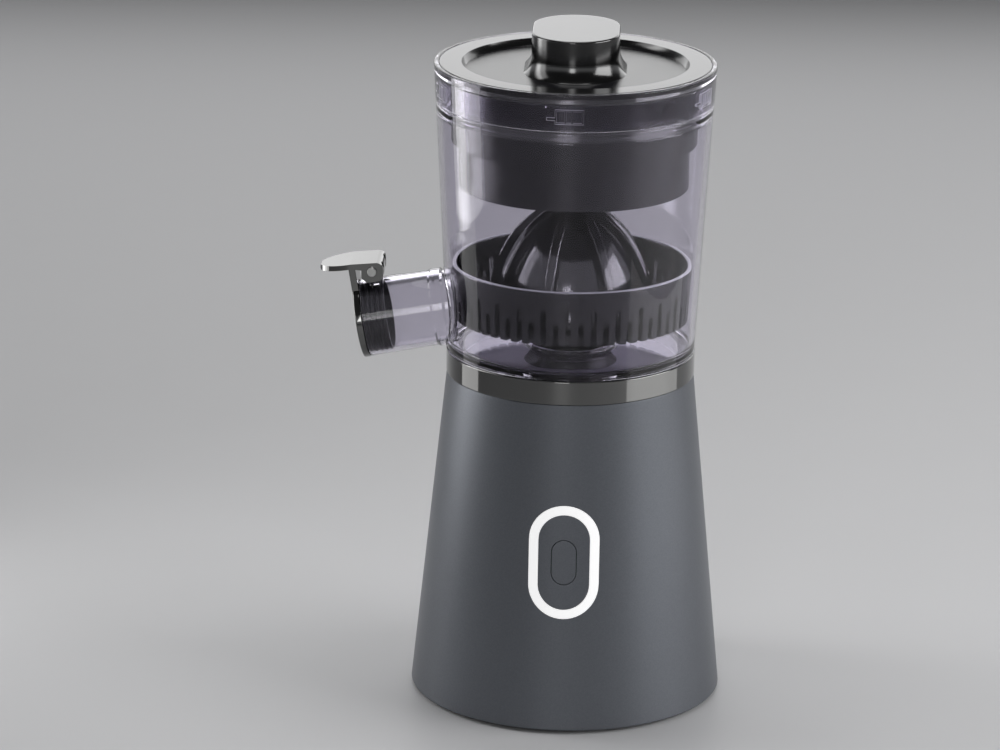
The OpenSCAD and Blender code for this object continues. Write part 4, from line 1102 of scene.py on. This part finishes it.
class JUICER_OT_stage(bpy.types.Operator):
    """Makes the floor, the soft lamps, the world and the camera"""

    bl_idname = "juicer.stage"
    bl_label = "Stage"

    def execute(self, context):
        self.floor()
        self.world()
        self.lamps()
        self.camera()
        context.scene.view_settings.view_transform = "Standard"
        return {"FINISHED"}

    def floor(self):
        """A wide pale floor."""
        deselect()
        bpy.ops.mesh.primitive_circle_add(vertices=96, radius=9, fill_type="NGON")
        floor = bpy.context.object
        floor.name = "floor"
        floor.data.materials.append(finish("Pale floor", (0.57, 0.57, 0.58), 0.5, grain=300.0))

    def world(self):
        """A pale room: even to the eye and through glass, darker overhead in mirrors, dim as light."""
        as_light, to_eye = 0.10, 0.75
        near_floor, overhead = 0.6, 0.06
        world = bpy.data.worlds.new("Studio")
        bpy.context.scene.world = world
        world.use_nodes = True
        tree = world.node_tree
        path = add_node(tree, "LightPath").outputs
        place = add_node(tree, "TexCoord").outputs["Generated"]
        height = add_node(tree, "SeparateXYZ", {"Vector": place}).outputs["Z"]
        mirrored = add_node(tree, "MapRange", {
            "Value": height, "From Min": 0.10, "From Max": 0.40, "To Min": near_floor, "To Max": overhead,
        }, interpolation_type="SMOOTHSTEP")
        unseen = add_node(tree, "Mix", {
            "Factor": path["Is Glossy Ray"], "A": as_light, "B": mirrored.outputs["Result"],
        })
        straight = add_node(tree, "Math", {0: path["Is Camera Ray"], 1: path["Is Transmission Ray"]},
                            operation="MAXIMUM")
        strength = add_node(tree, "Mix", {
            "Factor": straight.outputs["Value"], "A": unseen.outputs["Result"], "B": to_eye,
        })
        shade = tree.nodes["Background"].inputs
        shade["Color"].default_value = (0.97, 0.98, 1.0, 1)
        tree.links.new(strength.outputs["Result"], shade["Strength"])

    def lamps(self):
        """Soft boxes round the press: azimuth, distance, height, size, radiance, aim, spread."""
        soft_boxes = {
            "left_box": (-97, 0.46, 0.40, (0.30, 0.64), 1.0, 0.40, 130),
            "left_core": (-103, 0.45, 0.40, (0.10, 0.64), 1.4, 0.40, 130),
            "left_strip": (-100, 0.42, 0.062, (0.18, 0.10), 1.1, 0.062, 180),
            "right_box": (80, 1.25, 0.58, (1.1, 0.75), 4.0, 0.2, 180),
            "right_strip": (82, 0.36, 0.045, (0.42, 0.06), 0.7, 0.045, 180),
            "front_box": (-6, 1.6, 0.60, (0.36, 0.60), 4.0, 0.18, 180),
            "back_box": (180, 1.3, 0.62, (2.2, 0.7), 1.1, 0.2, 180),
            "top_box": (180, 0.15, 1.3, (0.7, 0.7), 1.5, 0.2, 180),
        }
        for name, (azimuth, distance, height, size, radiance, aim, spread) in soft_boxes.items():
            turn = radians(azimuth)
            spot = Vector((sin(turn) * distance, -cos(turn) * distance, height))
            deselect()
            bpy.ops.object.light_add(type="AREA", location=spot)
            lamp = bpy.context.object
            lamp.name = name
            lamp.rotation_euler = (Vector((0, 0, aim)) - spot).to_track_quat("-Z", "Y").to_euler()
            lamp.data.shape = "RECTANGLE"
            lamp.data.size, lamp.data.size_y = size
            lamp.data.spread = radians(spread)
            lamp.data.energy = radiance * 4 * size[0] * size[1]
            lamp.visible_camera = False
            lamp.visible_transmission = "strip" not in name

    def camera(self):
        """A long lens in front of the press, a little above it, turned and raised to frame it."""
        pan, pitch, roll, turn, lift = -0.0153, 0.2960, 0.0137, radians(1.2), 0.0015
        ahead = Vector((sin(pan) * cos(pitch), cos(pan) * cos(pitch), -sin(pitch)))
        level = Vector((cos(pan), -sin(pan), 0))
        above = level.cross(ahead)
        right = level * cos(roll) + above * sin(roll)
        up = above * cos(roll) - level * sin(roll)
        pose = Matrix((right, up, -ahead)).transposed().to_4x4()
        pose.translation = (0, -2.05143, 0.76882)
        deselect()
        bpy.ops.object.camera_add()
        camera = bpy.context.object
        camera.matrix_world = Matrix.Translation((0, 0, lift)) @ Matrix.Rotation(turn, 4, "Z") @ pose
        camera.data.sensor_width = 36
        camera.data.lens = 172.28
        camera.data.clip_end = 100
        bpy.context.scene.camera = camera


class JUICER_PT_panel(bpy.types.Panel):
    """Lists the juicer's sizes, colours and steps"""

    bl_idname = "JUICER_PT_panel"
    bl_label = "Juicer"
    bl_space_type = "VIEW_3D"
    bl_region_type = "UI"
    bl_category = "Juicer"

    def draw(self, context):
        for group in (context.scene.juicer_sizes, context.scene.juicer_colours):
            for key in group.__annotations__:
                self.layout.prop(group, key)
        for step in STEPS:
            self.layout.operator(step.bl_idname)


STEPS = (
    JUICER_OT_stage, JUICER_OT_housing, JUICER_OT_light_ring, JUICER_OT_deck, JUICER_OT_jar,
    JUICER_OT_spout, JUICER_OT_filter, JUICER_OT_cone, JUICER_OT_lid, JUICER_OT_press_cup,
    JUICER_OT_inner_pieces,
)


def register():
    for kind in (JuicerSizes, JuicerColours) + STEPS + (JUICER_PT_panel,):
        bpy.utils.register_class(kind)
    bpy.types.Scene.juicer_sizes = PointerProperty(type=JuicerSizes)
    bpy.types.Scene.juicer_colours = PointerProperty(type=JuicerColours)


def unregister():
    del bpy.types.Scene.juicer_colours
    del bpy.types.Scene.juicer_sizes
    for kind in reversed((JuicerSizes, JuicerColours) + STEPS + (JUICER_PT_panel,)):
        bpy.utils.unregister_class(kind)


def main():
    """Registers the classes and runs every step in order."""
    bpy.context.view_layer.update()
    register()
    for step in STEPS:
        group, name = step.bl_idname.split(".")
        if getattr(getattr(bpy.ops, group), name)() != {"FINISHED"}:
            raise RuntimeError(f"{step.bl_label} did not finish")
    deselect()


if __name__ == "__main__":
    main()
